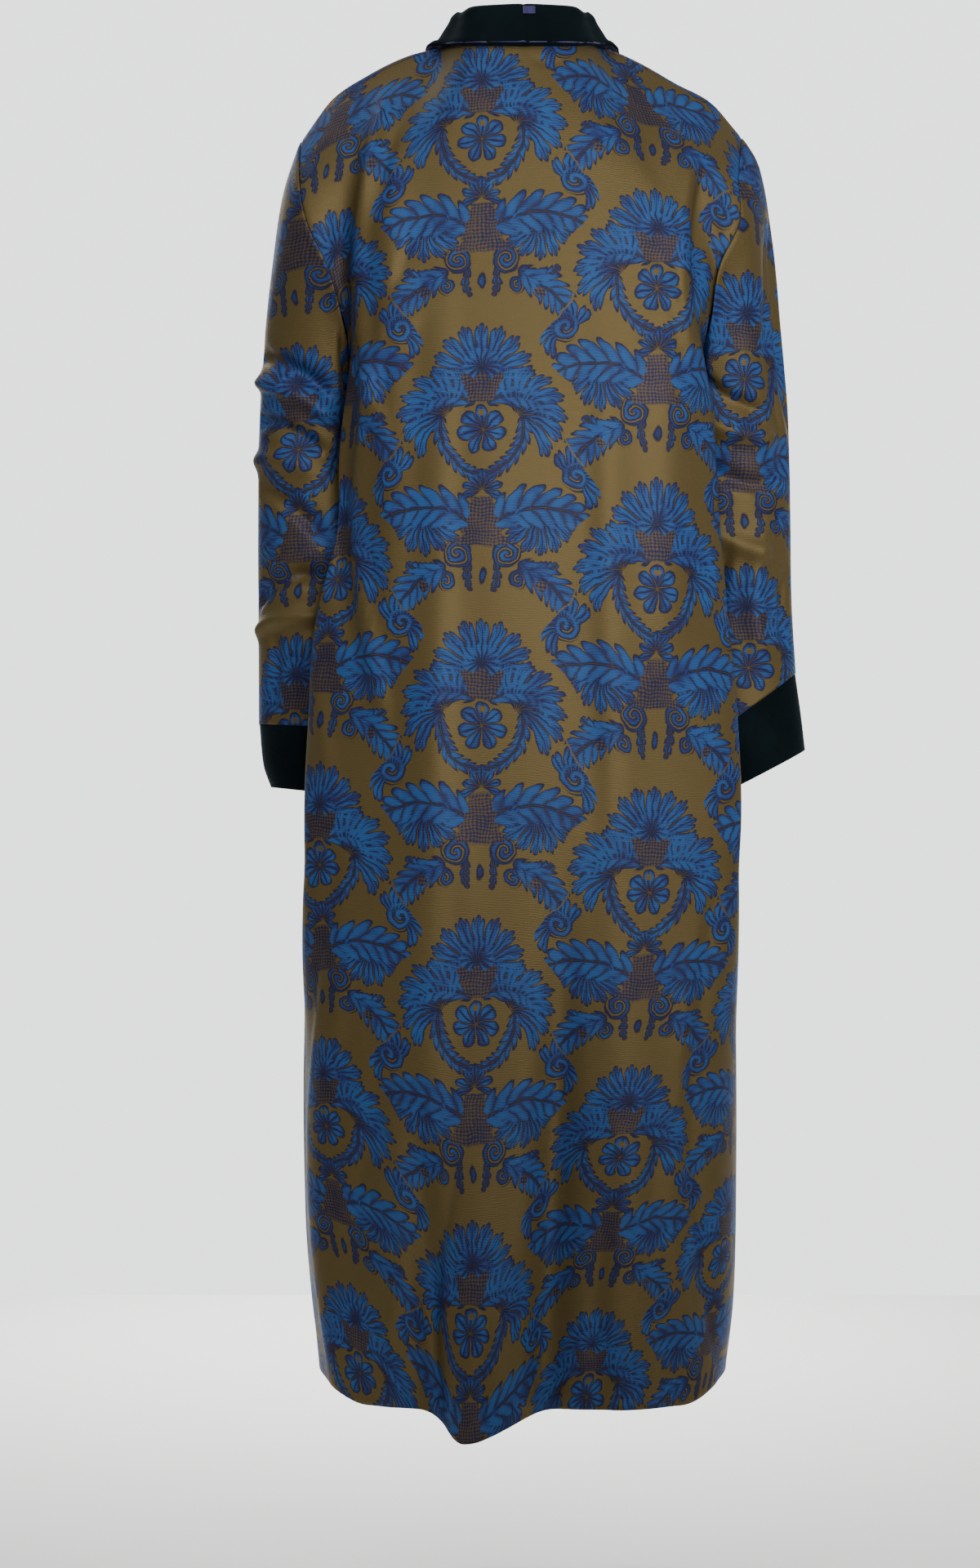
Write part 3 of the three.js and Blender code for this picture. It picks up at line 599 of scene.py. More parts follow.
def frond(x, y, cx, cy, bend, start, sweep, wide, lobes, lean=0.9, sharp=0.5, taper=0.5):
    """A serrated leaf on an arc: centre (cx, cy), radius `bend`, from angle `start` over `sweep`
    degrees, widest towards its root where taper is small. It gives how far inside a point lies, and how
    far that is from a dark line: the midrib, or the cut between two lobes."""
    dx, dy, r = seen_from(x, y, cx, cy)
    sign = 1 if sweep > 0 else -1
    turn = dy.math("ARCTAN2", dx).times_plus(sign / TAU, 2 - sign * start / 360)
    t = turn.fract() * (360 / abs(sweep))
    side = abs(r - bend)
    length = abs(sweep) / 360 * TAU * bend
    lobe = lobe_of(side.times_plus(-lean * lobes / length, t.times_plus(lobes, 0.5)).zigzag(0.5))
    hull = (t.times_plus(-4.0, 4.0) * t).math("POWER", taper)
    reach = lobe.times_plus(wide * sharp, wide * (1 - sharp)).times_plus(hull, -0.8)
    return reach - side, lobe.times_plus(7.0, -1.4).least(side.times_plus(1.6, -0.2))


def fan(x, y, cx, cy, low, high, size, leaves, curl=0.0, tip=0.22, notches=3):
    """A spread of leaves from (cx, cy) between the angles low and high, in degrees from straight up,
    each curled by `curl` degrees for each millimetre out and notched at its end. Its dark lines are the
    cuts between leaves, each leaf's midrib, and short cuts at the notches."""
    dx, dy, r = seen_from(x, y, cx, cy)
    turn = dx.math("ARCTAN2", dy).times_plus(1 / TAU, 1 - low / 360)
    if curl:
        turn = r.times_plus(-curl / 360, turn)
    t = turn.fract() * (360 / (high - low))
    tooth = t.times_plus(leaves, 0.5).zigzag(0.5)
    notch = t.times_plus(leaves * notches, 0.5).zigzag(0.5)
    reach = lobe_of(tooth).times_plus(size * tip, size * (1 - 1.3 * tip))
    within = lobe_of(notch).times_plus(size * tip * 0.4, reach) - r
    sides = t.times_plus(-4 * size, 4 * size).times_plus(t, -0.8)
    width = r * (TAU / 360 * (high - low) / leaves)
    cut = tooth.times_plus(-2.2, 1.1).times_plus(width, -0.5)
    nick = notch.times_plus(-2.4 / notches, 1.2 / notches).times_plus(width, within.times_plus(0.5, -1.4))
    rib = (tooth * 2.4).times_plus(width, r * 0.03)
    return within.least(sides), cut.least(nick).least(rib)


def spiral(x, y, cx, cy, size, pitch, hand, phase=0.0):
    """A curled tendril: a disc with one dark arm of an even spiral round (cx, cy)."""
    dx, dy, r = seen_from(x, y, cx, cy)
    turn = dy.math("ARCTAN2", dx).times_plus(-hand / TAU, 0.5 - phase)
    off = r.times_plus(1 / pitch, turn).zigzag(0.5)
    return size - r, off.times_plus(-1.5 * pitch, 0.75 * pitch - 1.2)


# ------------------------------------------------------------------ materials
def new_material(name):
    """A material with an empty tree but for a Principled shader and the output."""
    material = bpy.data.materials.new(name)
    material.use_nodes = True
    tree = material.node_tree
    shader = tree.nodes["Principled BSDF"]
    return material, tree, shader


def blend_colors(tree, factor, a, b):
    """Colour that goes from a to b as the factor rises; each is a tuple or another node's colour."""
    node = tree.nodes.new("ShaderNodeMix")
    node.data_type = "RGBA"
    tree.links.new(factor.socket, node.inputs["Factor"])
    for name, value in (("A", a), ("B", b)):
        if isinstance(value, tuple):
            node.inputs[name].default_value = (*value, 1)
        else:
            tree.links.new(value, node.inputs[name])
    return node.outputs["Result"]


def noise(tree, coords, scale, detail=2.0, stretch=(1, 1, 1)):
    mapping = tree.nodes.new("ShaderNodeMapping")
    mapping.inputs["Scale"].default_value = stretch
    tree.links.new(coords, mapping.inputs["Vector"])
    node = tree.nodes.new("ShaderNodeTexNoise")
    node.inputs["Scale"].default_value = scale
    node.inputs["Detail"].default_value = detail
    tree.links.new(mapping.outputs["Vector"], node.inputs["Vector"])
    return Field(tree, node.outputs["Fac"])


def noise_pair(tree, coords, scale, detail):
    """Two unlike values of one noise, from its colour's first two parts."""
    node = tree.nodes.new("ShaderNodeTexNoise")
    node.inputs["Scale"].default_value = scale
    node.inputs["Detail"].default_value = detail
    tree.links.new(coords, node.inputs["Vector"])
    parts = tree.nodes.new("ShaderNodeSeparateXYZ")
    tree.links.new(node.outputs["Color"], parts.inputs["Vector"])
    return Field(tree, parts.outputs["X"]), Field(tree, parts.outputs["Y"])


def bump(tree, shader, height, strength, distance):
    node = tree.nodes.new("ShaderNodeBump")
    node.inputs["Strength"].default_value = strength
    node.inputs["Distance"].default_value = distance
    tree.links.new(height.socket, node.inputs["Height"])
    tree.links.new(node.outputs["Normal"], shader.inputs["Normal"])


def make_velvet():
    """Near-black navy pile: dark body, blue-grey sheen at the turning edges, a fine uneven nap."""
    material, tree, shader = new_material("velvet")
    coords = tree.nodes.new("ShaderNodeTexCoord").outputs["Object"]
    nap = noise(tree, coords, 900.0, 1.0)
    drift = noise(tree, coords, 14.0, 3.0)
    pile = blend_colors(tree, drift.ramp(0.35, 0.7), (0.0022, 0.0054, 0.0068), (0.0040, 0.0092, 0.0112))
    tree.links.new(pile, shader.inputs["Base Color"])
    shader.inputs["Roughness"].default_value = 0.86
    shader.inputs["Specular IOR Level"].default_value = 0.06
    shader.inputs["Sheen Weight"].default_value = 0.10
    shader.inputs["Sheen Roughness"].default_value = 0.38
    shader.inputs["Sheen Tint"].default_value = (0.28, 0.42, 0.55, 1)
    bump(tree, shader, nap + drift * 0.6, 0.5, 0.0006)
    return material


def make_lining():
    """Violet-blue satin with a fine upright grain."""
    material, tree, shader = new_material("lining")
    coords = tree.nodes.new("ShaderNodeTexCoord").outputs["Object"]
    grain = noise(tree, coords, 260.0, 1.0, (1, 1, 0.08))
    satin = blend_colors(tree, grain.ramp(0.3, 0.7), (0.020, 0.014, 0.085), (0.034, 0.024, 0.130))
    tree.links.new(satin, shader.inputs["Base Color"])
    shader.inputs["Roughness"].default_value = 0.5
    shader.inputs["Sheen Weight"].default_value = 0.15
    bump(tree, shader, grain, 0.25, 0.0004)
    return material


REPEAT_HIGH = 302.0       # millimetres of cloth between two palmettes of one column
REPEAT_WIDE = 181.0       # between two columns, the next one half a repeat lower
TOP_OF_MOTIF = 68.0       # the motif's upper end, above the middle of its palmette
# Line between one column's figures and the next's: cosine and sine of one wave a repeat, then of three.
BORDER = ((1, -11.1, -14.8), (3, 12.1, -3.2))


def palmette(x, y):
    """Crown of the motif: a fan of notched leaves, two sprays of long curled leaves that fall away from
    a bud, and a heart-shaped wreath below. x is the distance from the axis of symmetry, y up."""
    return [
        fan(x, y, 0, 12, -100, 100, 53, 9, 0.0, 0.34, 3),
        fan(x, y, 0, 22, -180, 180, 23, 7, 0.0, 0.34, 1),
        fan(x, y, 36, -28, -52, 128, 51, 7, 0.55, 0.36, 3),
        frond(x, y, 34, -52, 44, 128, -108, 15, 7, 1.3, 0.6, 0.35),
        fan(x, y, 0, -44, -180, 180, 25, 7, 0.0, 0.34, 1),
        frond(x, y - x * 0.22, 3, -50, 40, 16, -108, 11, 8, 1.3, 0.75, 0.25),
    ]


def scrolls(x, y):
    """Stem of the motif below the palmette: a vase, leaves that curl out from it, and tendrils."""
    return [
        fan(x, y, 0, -106, -125, 125, 21, 7, 0.0, 0.36, 1),
        fan(x, y, 26, -134, 0, 200, 17, 4, -1.5, 0.3, 1),
        frond(x, y, 62, -208, 86, 130, -72, 25, 7, 0.9, 0.6, 0.4),
        fan(x, y, 56, -130, 92, 250, 41, 6, 0.45, 0.36, 3),
        spiral(x, y, 97, -88, 17, 9.5, -1.0, 0.3),
        fan(x, y, 97, -90, -90, 140, 33, 7, 0.9, 0.36, 2),
        frond(x, y, 150, -62, 52, 120, 72, 17, 7, 1.2, 0.65, 0.4),
        spiral(x, y, 25, -171, 14.5, 8.0, 1.0, 0.5),
        frond(x, y, -26, -190, 42, 18, -46, 6, 4, 1.0, 0.5, 0.35),
        frond(x, y, 18, -268, 84, 78, -54, 20, 7, 1.1, 0.65, 0.4),
        frond(x, y, 56, -160, 28, 226, 96, 11, 5, 1.2, 0.6, 0.4),
        spiral(x, y, 36, -198, 10, 7.0, -1.0, 0.0),
        (4.0 - radius(x, (y + 192) * 0.45), 2.5),
    ]


def motif(x, y):
    """How far a point is inside the figure, how far from a dark line, and how far inside the mottled
    areas: the shield under the crown and the vase."""
    inside = None
    for shape, line in palmette(x, y) + scrolls(x, y):
        own = shape.least(line)
        vein = own if inside is None else vein.most(own)
        inside = shape if inside is None else inside.most(shape)
    crest = x.times_plus(1 / 17, 0.5).zigzag(0.5).times_plus(12.0, 10.0)
    shield = (y.times_plus(0.4, 19.0) - x).least(crest - y).least(y + 16.0)
    above_waist = y + 110.0
    waist = (above_waist * above_waist).times_plus(0.006, (y * 0.55).sin().times_plus(1.6, 12.0))
    jar = (waist - x).least(y + 163.0).least(-112.0 - y)
    mottle = shield.most(jar).most(6.0 - radius(x - 60, y + 203))
    inside = inside.least(1.0 - mottle).least(radius(x, y + 27) - 3.5)
    return inside, vein, mottle


def make_damask():
    """Damask: the motif repeats over the cloth's own coordinates, every other column half a repeat
    lower. Bronze satin ground, blue figure with navy veins, and fine level ribs over both."""
    material, tree, shader = new_material("damask")
    grain = tree.nodes.new("ShaderNodeUVMap")
    grain.uv_map = "grain"
    parts = tree.nodes.new("ShaderNodeSeparateXYZ")
    tree.links.new(grain.outputs["UV"], parts.inputs["Vector"])
    drift, sway = noise_pair(tree, grain.outputs["UV"], 42.0, 3.0)
    fine = noise(tree, grain.outputs["UV"], 1100.0, 0.0, (1, 3.2, 1))
    u = drift.times_plus(11.0, Field(tree, parts.outputs["X"]).times_plus(1000.0, -5.5))
    v = sway.times_plus(10.0, Field(tree, parts.outputs["Y"]).times_plus(1000.0, -5.0))
    x = u.zigzag(REPEAT_WIDE)
    low = v.times_plus(1 / REPEAT_HIGH, -TOP_OF_MOTIF / REPEAT_HIGH)
    y = low.fract().times_plus(REPEAT_HIGH, TOP_OF_MOTIF - REPEAT_HIGH)
    y_far = (low + 0.5).fract().times_plus(REPEAT_HIGH, TOP_OF_MOTIF - REPEAT_HIGH)
    border = REPEAT_WIDE / 2
    for waves, cosine, sine in BORDER:
        turn = v * (waves * TAU / REPEAT_HIGH)
        border = turn.sin().times_plus(sine, turn.cos().times_plus(cosine, border))
    other = x.above(border)
    x = other.times_plus(x.times_plus(-2.0, REPEAT_WIDE), x)
    y = other.times_plus(y_far - y, y)
    border = other.times_plus(border.times_plus(-2.0, REPEAT_WIDE), border)
    inside, vein, mottle = motif(x, y)
    inside = inside.least(abs(x - border) - 0.8)
    grainy = fine.times_plus(2.4, -1.2)
    figure = grainy.times_plus(0.7, inside.least(vein + 0.15)).ramp(-0.5, 0.9)
    veined = vein + grainy
    petal = veined.ramp(0.4, 3.0)
    core = (sway.times_plus(8.0, -4.0) + veined).ramp(1.5, 6.5)
    mottled = (fine.times_plus(4.0, -2.0) + mottle).ramp(-1.0, 1.5)
    ribs = (v * (TAU / 2.4)).sin().times_plus(0.5, 0.5)
    ground = blend_colors(tree, fine.ramp(0.3, 0.7), (0.088, 0.062, 0.023), (0.168, 0.122, 0.048))
    float_thread = core.times_plus(0.55, drift.times_plus(0.9, -0.25))
    float_thread = ribs.times_plus(0.25, fine.times_plus(0.5, float_thread)).ramp(0.45, 1.35)
    blue = blend_colors(tree, float_thread, (0.022, 0.028, 0.108), (0.024, 0.098, 0.270))
    leaf = blend_colors(tree, petal, (0.011, 0.010, 0.032), blue)
    check = ((u + v) * (TAU / 7.0)).sin() * ((u - v) * (TAU / 7.0)).sin()
    net = blend_colors(tree, (check.times_plus(0.6, drift) + fine - 0.6).ramp(0.2, 0.7),
                       (0.024, 0.024, 0.060), (0.100, 0.070, 0.044))
    base = blend_colors(tree, mottled, ground, net)
    cloth = blend_colors(tree, figure, base, leaf)
    tree.links.new(cloth, shader.inputs["Base Color"])
    satin = figure.times_plus(-0.4, 0.4)
    tree.links.new(satin.socket, shader.inputs["Metallic"])
    shader.inputs["Roughness"].default_value = 0.52
    shader.inputs["Specular IOR Level"].default_value = 0.14
    bump(tree, shader, ribs.times_plus(0.5, fine * 0.6), 0.35, 0.0006)
    return material


VELVET = make_velvet()
LINING = make_lining()
DAMASK = make_damask()


# ------------------------------------------------------------------ the pieces
def body_rows():
    """Heights and yoke rises of the fine rows, hem first."""
    z = np.concatenate([HEM_Z + (UNDERARM_Z - HEM_Z) * np.arange(SKIRT_ROWS) / SKIRT_ROWS,
                        np.full(YOKE_ROWS + 1, UNDERARM_Z)])
    rise = np.concatenate([np.zeros(SKIRT_ROWS), np.arange(YOKE_ROWS + 1) / YOKE_ROWS])
    return z, rise


Z_ROWS, RISE_ROWS = body_rows()


def seam_sink(path, depth=1.1, width=3.0):
    """Depth of a seam's groove at a path length from it."""
    return depth * np.exp(-((path / width) ** 2))


COLUMN_KEYS = table("z middle gather side left", [
    [-1414, 55, 1.36, 74, 92],
    [-1372, 54.5, 1.31, 68, 84],
    [-1129, 51, 1.12, 10, 34],
    [-857, 45, 1.03, -20, 4],
    [-700, 42.7, 1.0, -15, 0],
    [-232, 42.7, 1.0, 0, 0],
    [40, 42.7, 1.0, 0, 0],
])


def plain_uv(p, centre_column):
    """The cloth's own coordinates: path length across from the centre column, and up from the hem."""
    across = steps_along(p, 1)
    across = across - across[:, centre_column:centre_column + 1]
    up = steps_along(p, 0)
    return np.stack([across, up], -1) * MM


def back_uv(p):
    """The back's coordinates: 0 across on the column of palmettes right of the middle, and the height
    of the cloth along its own length, measured from the underarm. Towards the sides the cloth hangs
    off its grain, so the pattern there is moved along it."""
    path = steps_along(p, 1)
    z = p[..., 2].mean(1)
    row = np.arange(len(p))
    level = {c: keyed(COLUMN_KEYS, "z", c, z) for c in COLUMN_KEYS if c != "z"}
    start = np.array([np.interp(-level["middle"][i], -p[i, :, 0], path[i]) for i in row])
    across = (path - start[:, None]) * level["gather"][:, None]
    up = steps_along(p, 0)
    up = up - up[SKIRT_ROWS] + UNDERARM_Z
    up = up[:, BACK_COLUMNS // 2][:, None] + (up - up[:, BACK_COLUMNS // 2][:, None]) * 0.5
    right = smooth(20, 180, across)
    left = smooth(20, 180, -across)
    up = up - right * level["side"][:, None] - left * level["left"][:, None]
    return np.stack([across, up + 77.0], -1) * MM


def sleeve_uv(p, side):
    """A sleeve's coordinates: level path length across from its middle behind, and height, so that the
    pattern stands upright. One column of palmettes runs down a little outside that middle."""
    level = p * (1, 1, 0)
    across = steps_along(level, 1)
    behind = across[:, SLEEVE_COLUMNS // 4][:, None]
    inset, height = (17.0, 387.0) if side == LEFT else (11.0, 314.0)
    return np.stack([across - behind + inset, p[..., 2] + height], -1) * MM


def creases(folds, a, b):
    """Displacement of short creases. Each is a trough (depth below zero) or ridge along the segment
    from (a0, b0) to (a1, b1): depth * exp(-(distance / width)^2), steeper on one side by `skew`, and
    dying out beyond its ends over `fade`."""
    total = 0 * a
    for a0, b0, a1, b1, width, depth, skew, fade in zip(*folds.values()):
        length = math.hypot(a1 - a0, b1 - b0)
        ta, tb = (a1 - a0) / length, (b1 - b0) / length
        along = (a - a0) * ta + (b - b0) * tb
        bow = 0.06 * length * np.sin(np.pi * np.clip(along / length, 0, 1))
        off = (b - b0) * ta - (a - a0) * tb - bow
        wide = width * (1 + skew * np.tanh(off / width))
        ends = np.minimum(along, length - along)
        total = total + depth * np.exp(-((off / wide) ** 2)) * smooth(-fade, fade, ends)
    return total


def softened(p, strength):
    """Evens out the rows near the underarm, where the skirt meets the yoke: three passes of the mean
    of a row's neighbours a few rows off, weighted by a bell over the rows."""
    row = np.arange(len(p))
    weight = (np.exp(-(((row - SKIRT_ROWS) / 16) ** 2)))[:, None, None] * strength
    for reach in (9, 5, 3):
        low, high = np.maximum(row - reach, 0), np.minimum(row + reach, len(p) - 1)
        p = p + ((p[low] + p[high]) / 2 - p) * weight
    return p


FOLD_COLUMNS = "a0 b0 a1 b1 width depth skew fade"
BACK_CREASES = table(FOLD_COLUMNS, [
    [147, -84, 146, -420, 8, 8.5, 0.3, 50],
    [147, -330, 144, -700, 8, 7.5, 0.3, 60],
    [170, -120, 170, -660, 11, -4, 0.0, 70],
    [190, -430, 196, -800, 9, 3.5, 0.0, 70],
    [128, -96, 146, -190, 9, -3.0, 0.2, 30],
    [96, -40, 120, -120, 11, -2.2, 0.0, 25],
    [-150, -60, -166, -150, 9, 3.2, 0.3, 30],
    [-186, -150, -190, -330, 6, -5.0, -0.4, 40],
    [-174, -130, -176, -360, 8, 4.6, 0.0, 40],
    [-120, -60, -146, -170, 12, -2.5, 0.0, 30],
    [150, -300, 118, -232, 8, -2.6, 0.2, 22],
    [146, -330, 104, -300, 8, 2.2, 0.0, 22],
    [-158, -300, -124, -250, 8, -2.4, 0.1, 22],
    [-150, -336, -110, -316, 9, 2.0, 0.0, 20],
    [-12, -36, -38, -40, 4, -2.2, 0.0, 9],
    [30, -52, 8, -78, 6, 1.4, 0.0, 14],
    [70, -560, 64, -900, 22, 2.6, 0.2, 90],
    [-70, -420, -62, -760, 26, -2.4, 0.1, 90],
    [18, -360, 24, -640, 30, 2.0, 0.0, 90],
    [196, -880, 204, -1400, 9, -4.0, 0.4, 60],
    [180, -960, 190, -1400, 12, 3.2, 0.2, 70],
    [150, -1100, 156, -1420, 13, -3.0, 0.0, 70],
    [-196, -900, -204, -1390, 9, -3.6, -0.4, 60],
    [-172, -980, -178, -1400, 13, 3.4, 0.1, 70],
    [-150, -1080, -150, -1420, 12, -2.6, 0.0, 60],
    [-92, -1180, -84, -1420, 12, -2.6, 0.2, 60],
    [10, -1240, 18, -1430, 12, 2.4, 0.0, 50],
    [74, -1200, 82, -1430, 8, -3.4, 0.3, 50],
    [36, -1330, 40, -1440, 7, -2.0, 0.0, 30],
    [128, -1300, 134, -1420, 8, 2.2, 0.0, 30],
])
SLEEVE_CREASES = {
    LEFT: table(FOLD_COLUMNS, [
        [-62, -330, 30, -372, 8, -4.6, 0.3, 14],
        [-66, -356, 40, -402, 9, 4.2, 0.2, 14],
        [-60, -396, 22, -430, 8, -4.0, -0.2, 12],
        [-70, -440, 10, -452, 10, 3.2, 0.0, 14],
        [-50, -470, 24, -520, 9, -3.0, 0.2, 14],
        [44, -250, 52, -430, 10, -3.2, 0.3, 30],
        [-10, -560, 60, -590, 10, -2.6, 0.1, 16],
        [-60, -590, 20, -560, 9, -3.4, 0.2, 14],
        [-64, -622, 28, -606, 8, 3.2, 0.0, 14],
        [40, -520, 46, -700, 12, 3.0, 0.2, 30],
        [-30, -620, -34, -716, 9, -2.4, 0.2, 20],
        [12, -640, 8, -718, 9, 2.4, 0.0, 20],
        [-150, -360, -230, -420, 10, -4.0, 0.2, 18],
        [-140, -430, -226, -452, 11, 3.6, 0.0, 18],
        [130, -300, 150, -480, 12, -3.0, 0.2, 30],
        [-170, -560, -240, -610, 10, -3.0, 0.1, 18],
        [58, -205, 72, -420, 13, -3.6, 0.2, 34],
        [26, -436, 66, -470, 12, -3.4, 0.1, 20],
        [34, -640, 60, -560, 13, -3.4, 0.1, 24],
    ]),
    RIGHT: table(FOLD_COLUMNS, [
        [60, -350, -20, -392, 8, -3.6, 0.3, 14],
        [66, -390, -34, -420, 9, 3.4, 0.2, 14],
        [56, -440, -16, -470, 8, -3.0, -0.2, 12],
        [-40, -210, -50, -420, 10, -2.8, 0.3, 30],
        [60, -500, -26, -540, 10, 2.8, 0.1, 14],
        [20, -540, 30, -690, 9, -3.0, 0.2, 26],
        [-20, -520, -16, -650, 11, 2.8, 0.1, 26],
        [-52, -560, -46, -640, 8, -2.4, 0.1, 20],
        [150, -380, 230, -430, 10, -3.8, 0.2, 18],
        [140, -450, 222, -470, 11, 3.4, 0.0, 18],
        [-130, -300, -150, -480, 12, -3.0, 0.2, 30],
        [170, -570, 236, -620, 10, -3.0, 0.1, 18],
        [-58, -200, -70, -400, 13, -3.2, 0.2, 34],
        [-20, -470, -62, -430, 12, -3.0, 0.1, 20],
    ]),
}
SLEEVE_DEPTH = 2.3        # times the depths above
SLEEVE_EASE = 0.8
FRONT_CREASES = table(FOLD_COLUMNS, [
    [150, -250, 110, -200, 9, -3.0, 0.2, 24],
    [150, -300, 96, -268, 9, 2.4, 0.0, 24],
    [120, -420, 124, -700, 10, 3.0, 0.3, 70],
    [60, -520, 56, -900, 18, -2.6, 0.1, 90],
    [130, -900, 140, -1380, 10, -3.4, 0.3, 70],
    [165, -960, 172, -1380, 9, 3.0, 0.2, 60],
    [40, -1100, 36, -1410, 12, 2.4, 0.0, 60],
    [84, -1180, 92, -1410, 10, -2.6, 0.1, 50],
])


def body_panel(name, p, edge, sign, height, uv_of):
    """One panel of the body from its smooth points: evened out near the underarm, sunk into grooves at
    its side (`edge` away) and shoulder seams, and raised by `height` of its points between them."""
    inland = smooth(2, 26, edge)
    p = softened(p, inland[..., None] * 0.8)
    up = steps_along(p, 0)
    sink = seam_sink(edge) + seam_sink(up[-1:] - up)
    p = p + sign * grid_normals(p) * (height(p) * inland - sink)[..., None]
    return cloth_shell(name, p, sign * grid_normals(p), CLOTH_WALL, uv_of(p), DAMASK, LINING)


def make_back():
    """Back: both halves' rows of smooth points side by side, draped and creased."""
    across = 4 * np.arange(BACK_COLUMNS // 2 + 1) / (BACK_COLUMNS // 2)
    left = back_points(LEFT, Z_ROWS, RISE_ROWS, across)
    right = back_points(RIGHT, Z_ROWS, RISE_ROWS, across[1:])
    p = draped(np.concatenate([left[:, ::-1], right], 1))
    path = steps_along(p, 1)
    edge = np.minimum(path, path[:, -1:] - path)
    return body_panel("robe_back", p, edge, -1, lambda q: creases(BACK_CREASES, q[..., 0], q[..., 2]),
                      back_uv)


def make_front(side, name):
    """A front: creased where the collar doesn't lie, the right one's creases a little off the left's."""
    across = np.arange(FRONT_COLUMNS + 1) / FRONT_COLUMNS
    p = draped(front_points(side, Z_ROWS, RISE_ROWS, across))
    path = steps_along(p, 1)
    shift = 6.0 * (side < 0)

    def height(q):
        clear_of_collar = smooth(70, 100, path) + smooth(UNDERARM_Z - 150, UNDERARM_Z - 230, q[..., 2])
        raised = creases(FRONT_CREASES, side * q[..., 0] + shift, q[..., 2] + shift * 4)
        return raised * np.minimum(clear_of_collar, 1)
    return body_panel(name, p, path[:, -1:] - path, -side, height, lambda q: plain_uv(q, 0))


def make_sleeve(side, name):
    """A sleeve: rings from armhole to cuff, creased between its seams and eased a little outwards."""
    along = np.arange(SLEEVE_ROWS + 1) / SLEEVE_ROWS
    turn = np.arange(SLEEVE_COLUMNS + 1) / SLEEVE_COLUMNS
    p = sleeve_points(side, along, turn)
    up = steps_along(p, 0)
    uv = sleeve_uv(p, side)
    reach = smooth(4, 40, up) * smooth(2, 30, up[-1:] - up)
    raised = creases(SLEEVE_CREASES[side], uv[..., 0] / MM, p[..., 2]) * reach * SLEEVE_DEPTH
    p = p + tube_normals(p, side) * (raised - seam_sink(up) + SLEEVE_EASE)[..., None]
    n = tube_normals(p, side)
    return cloth_shell(name, p[:, :-1], n[:, :-1], CLOTH_WALL, uv, DAMASK, LINING, around=True)


def make_cuff(side, name):
    """A cuff: plain rings that carry on from the sleeve's end."""
    along = np.arange(CUFF_ROWS + 1) / CUFF_ROWS
    turn = np.arange(SLEEVE_COLUMNS + 1) / SLEEVE_COLUMNS
    p = ring_points(side, CUFF[side], along, turn)
    n = tube_normals(p, side)
    return cloth_shell(name, p[:, :-1], n[:, :-1], VELVET_WALL, plain_uv(p, 0), VELVET, LINING, around=True)


back = make_back()
front_left = make_front(LEFT, "robe_front_left")
front_right = make_front(RIGHT, "robe_front_right")
sleeve_left = make_sleeve(LEFT, "robe_sleeve_left")
sleeve_right = make_sleeve(RIGHT, "robe_sleeve_right")
cuff_left = make_cuff(LEFT, "robe_cuff_left")
cuff_right = make_cuff(RIGHT, "robe_cuff_right")


# ------------------------------------------------------------------ collar
NECK_STATIONS = 4         # stations of half the collar behind the neck
SIDE_STATIONS = 18        # and all of them to where it runs out, 48.8 mm apart below the underarm
STATION_DROP = 48.8
STATION_SPLIT = 8         # fine rows between two stations
CROSS_SPLIT = 5           # and fine columns between two points across the collar
LAP_LIFT = 4.3            # the collar's outside stands this far off the panel that it lies on
SEAM_CROWN = 1.3


def spot(side, kind, rise, z, across):
    """One smooth point of the back or of a front."""
    where = back_points if kind == "back" else front_points
    return where(side, np.array([z]), np.array([rise]), np.array([across]))[0, 0]


def spot_normal(side, kind, rise, z, across):
    """Outward normal there, from differences along both parameters."""
    step = 0.004
    if kind == "back":
        across, rise = max(across, step), min(rise, 1 - step)
    else:
        across += step
    if rise > 0:
        low, high = max(rise - step, 0.0), min(rise + step, 1.0)
        up = spot(side, kind, high, z, across) - spot(side, kind, low, z, across)
    else:
        up = spot(side, kind, 0.0, z + 0.4, across) - spot(side, kind, 0.0, z - 0.4, across)
    over = spot(side, kind, rise, z, across + step) - spot(side, kind, rise, z, across - step)
    n = np.cross(over, up) * (-side if kind == "back" else side)
    return n / np.linalg.norm(n)


def collar_line(side, n):
    """Points across the collar at station n: four over the panel, outer edge first, then three up its
    stand to the free edge."""
    at = n / SIDE_STATIONS
    size = {c: float(keyed(COLLAR, "station", c, at)) for c in COLLAR if c != "station"}
    behind = n < NECK_STATIONS
    rise = min(max(1 - (n - NECK_STATIONS) / ARMHOLE_STEPS, 0.0), 1.0)
    z = UNDERARM_Z - STATION_DROP * max(n - NECK_STATIONS - ARMHOLE_STEPS, 0)
    crown = math.exp(-(((n - NECK_STATIONS) / 0.6) ** 2))
    seam_up = np.array([side * 0.447, 0, 0.894]) * SEAM_CROWN
    if not behind:
        a, b = spot(side, "front", rise, z, 0.0), spot(side, "front", rise, z, 1 / 3)
        width = 3 * np.linalg.norm(b - a)
    line = []
    for q in (1.0, 2 / 3, 1 / 3, 0.0):
        d = size["lap"] * q
        if behind:
            turn = (n / NECK_STATIONS) ** 2
            place = (side, "back", 1 - (1 - turn) * d / 300, UNDERARM_Z, n / 2 + turn * d / 50)
        else:
            place = (side, "front", rise, z, d / width)
        lift = spot_normal(*place) * (1 - crown) + seam_up * crown
        line.append(spot(*place) + lift * LAP_LIFT)
    stand = np.array([side * size["standX"], size["standY"], size["standZ"]])
    line += [line[-1] + stand * q for q in (1 / 3, 2 / 3, 1.0)]
    return np.array(line)


def finer(net, split):
    """Catmull-Rom refinement of a net of points along its first axis."""
    net = np.concatenate([[beyond(net[0], net[1])], net, [beyond(net[-1], net[-2])]])
    at = np.arange((len(net) - 3) * split + 1) / split
    return on_chain(np.swapaxes(net, 0, 1), at).swapaxes(0, 1)


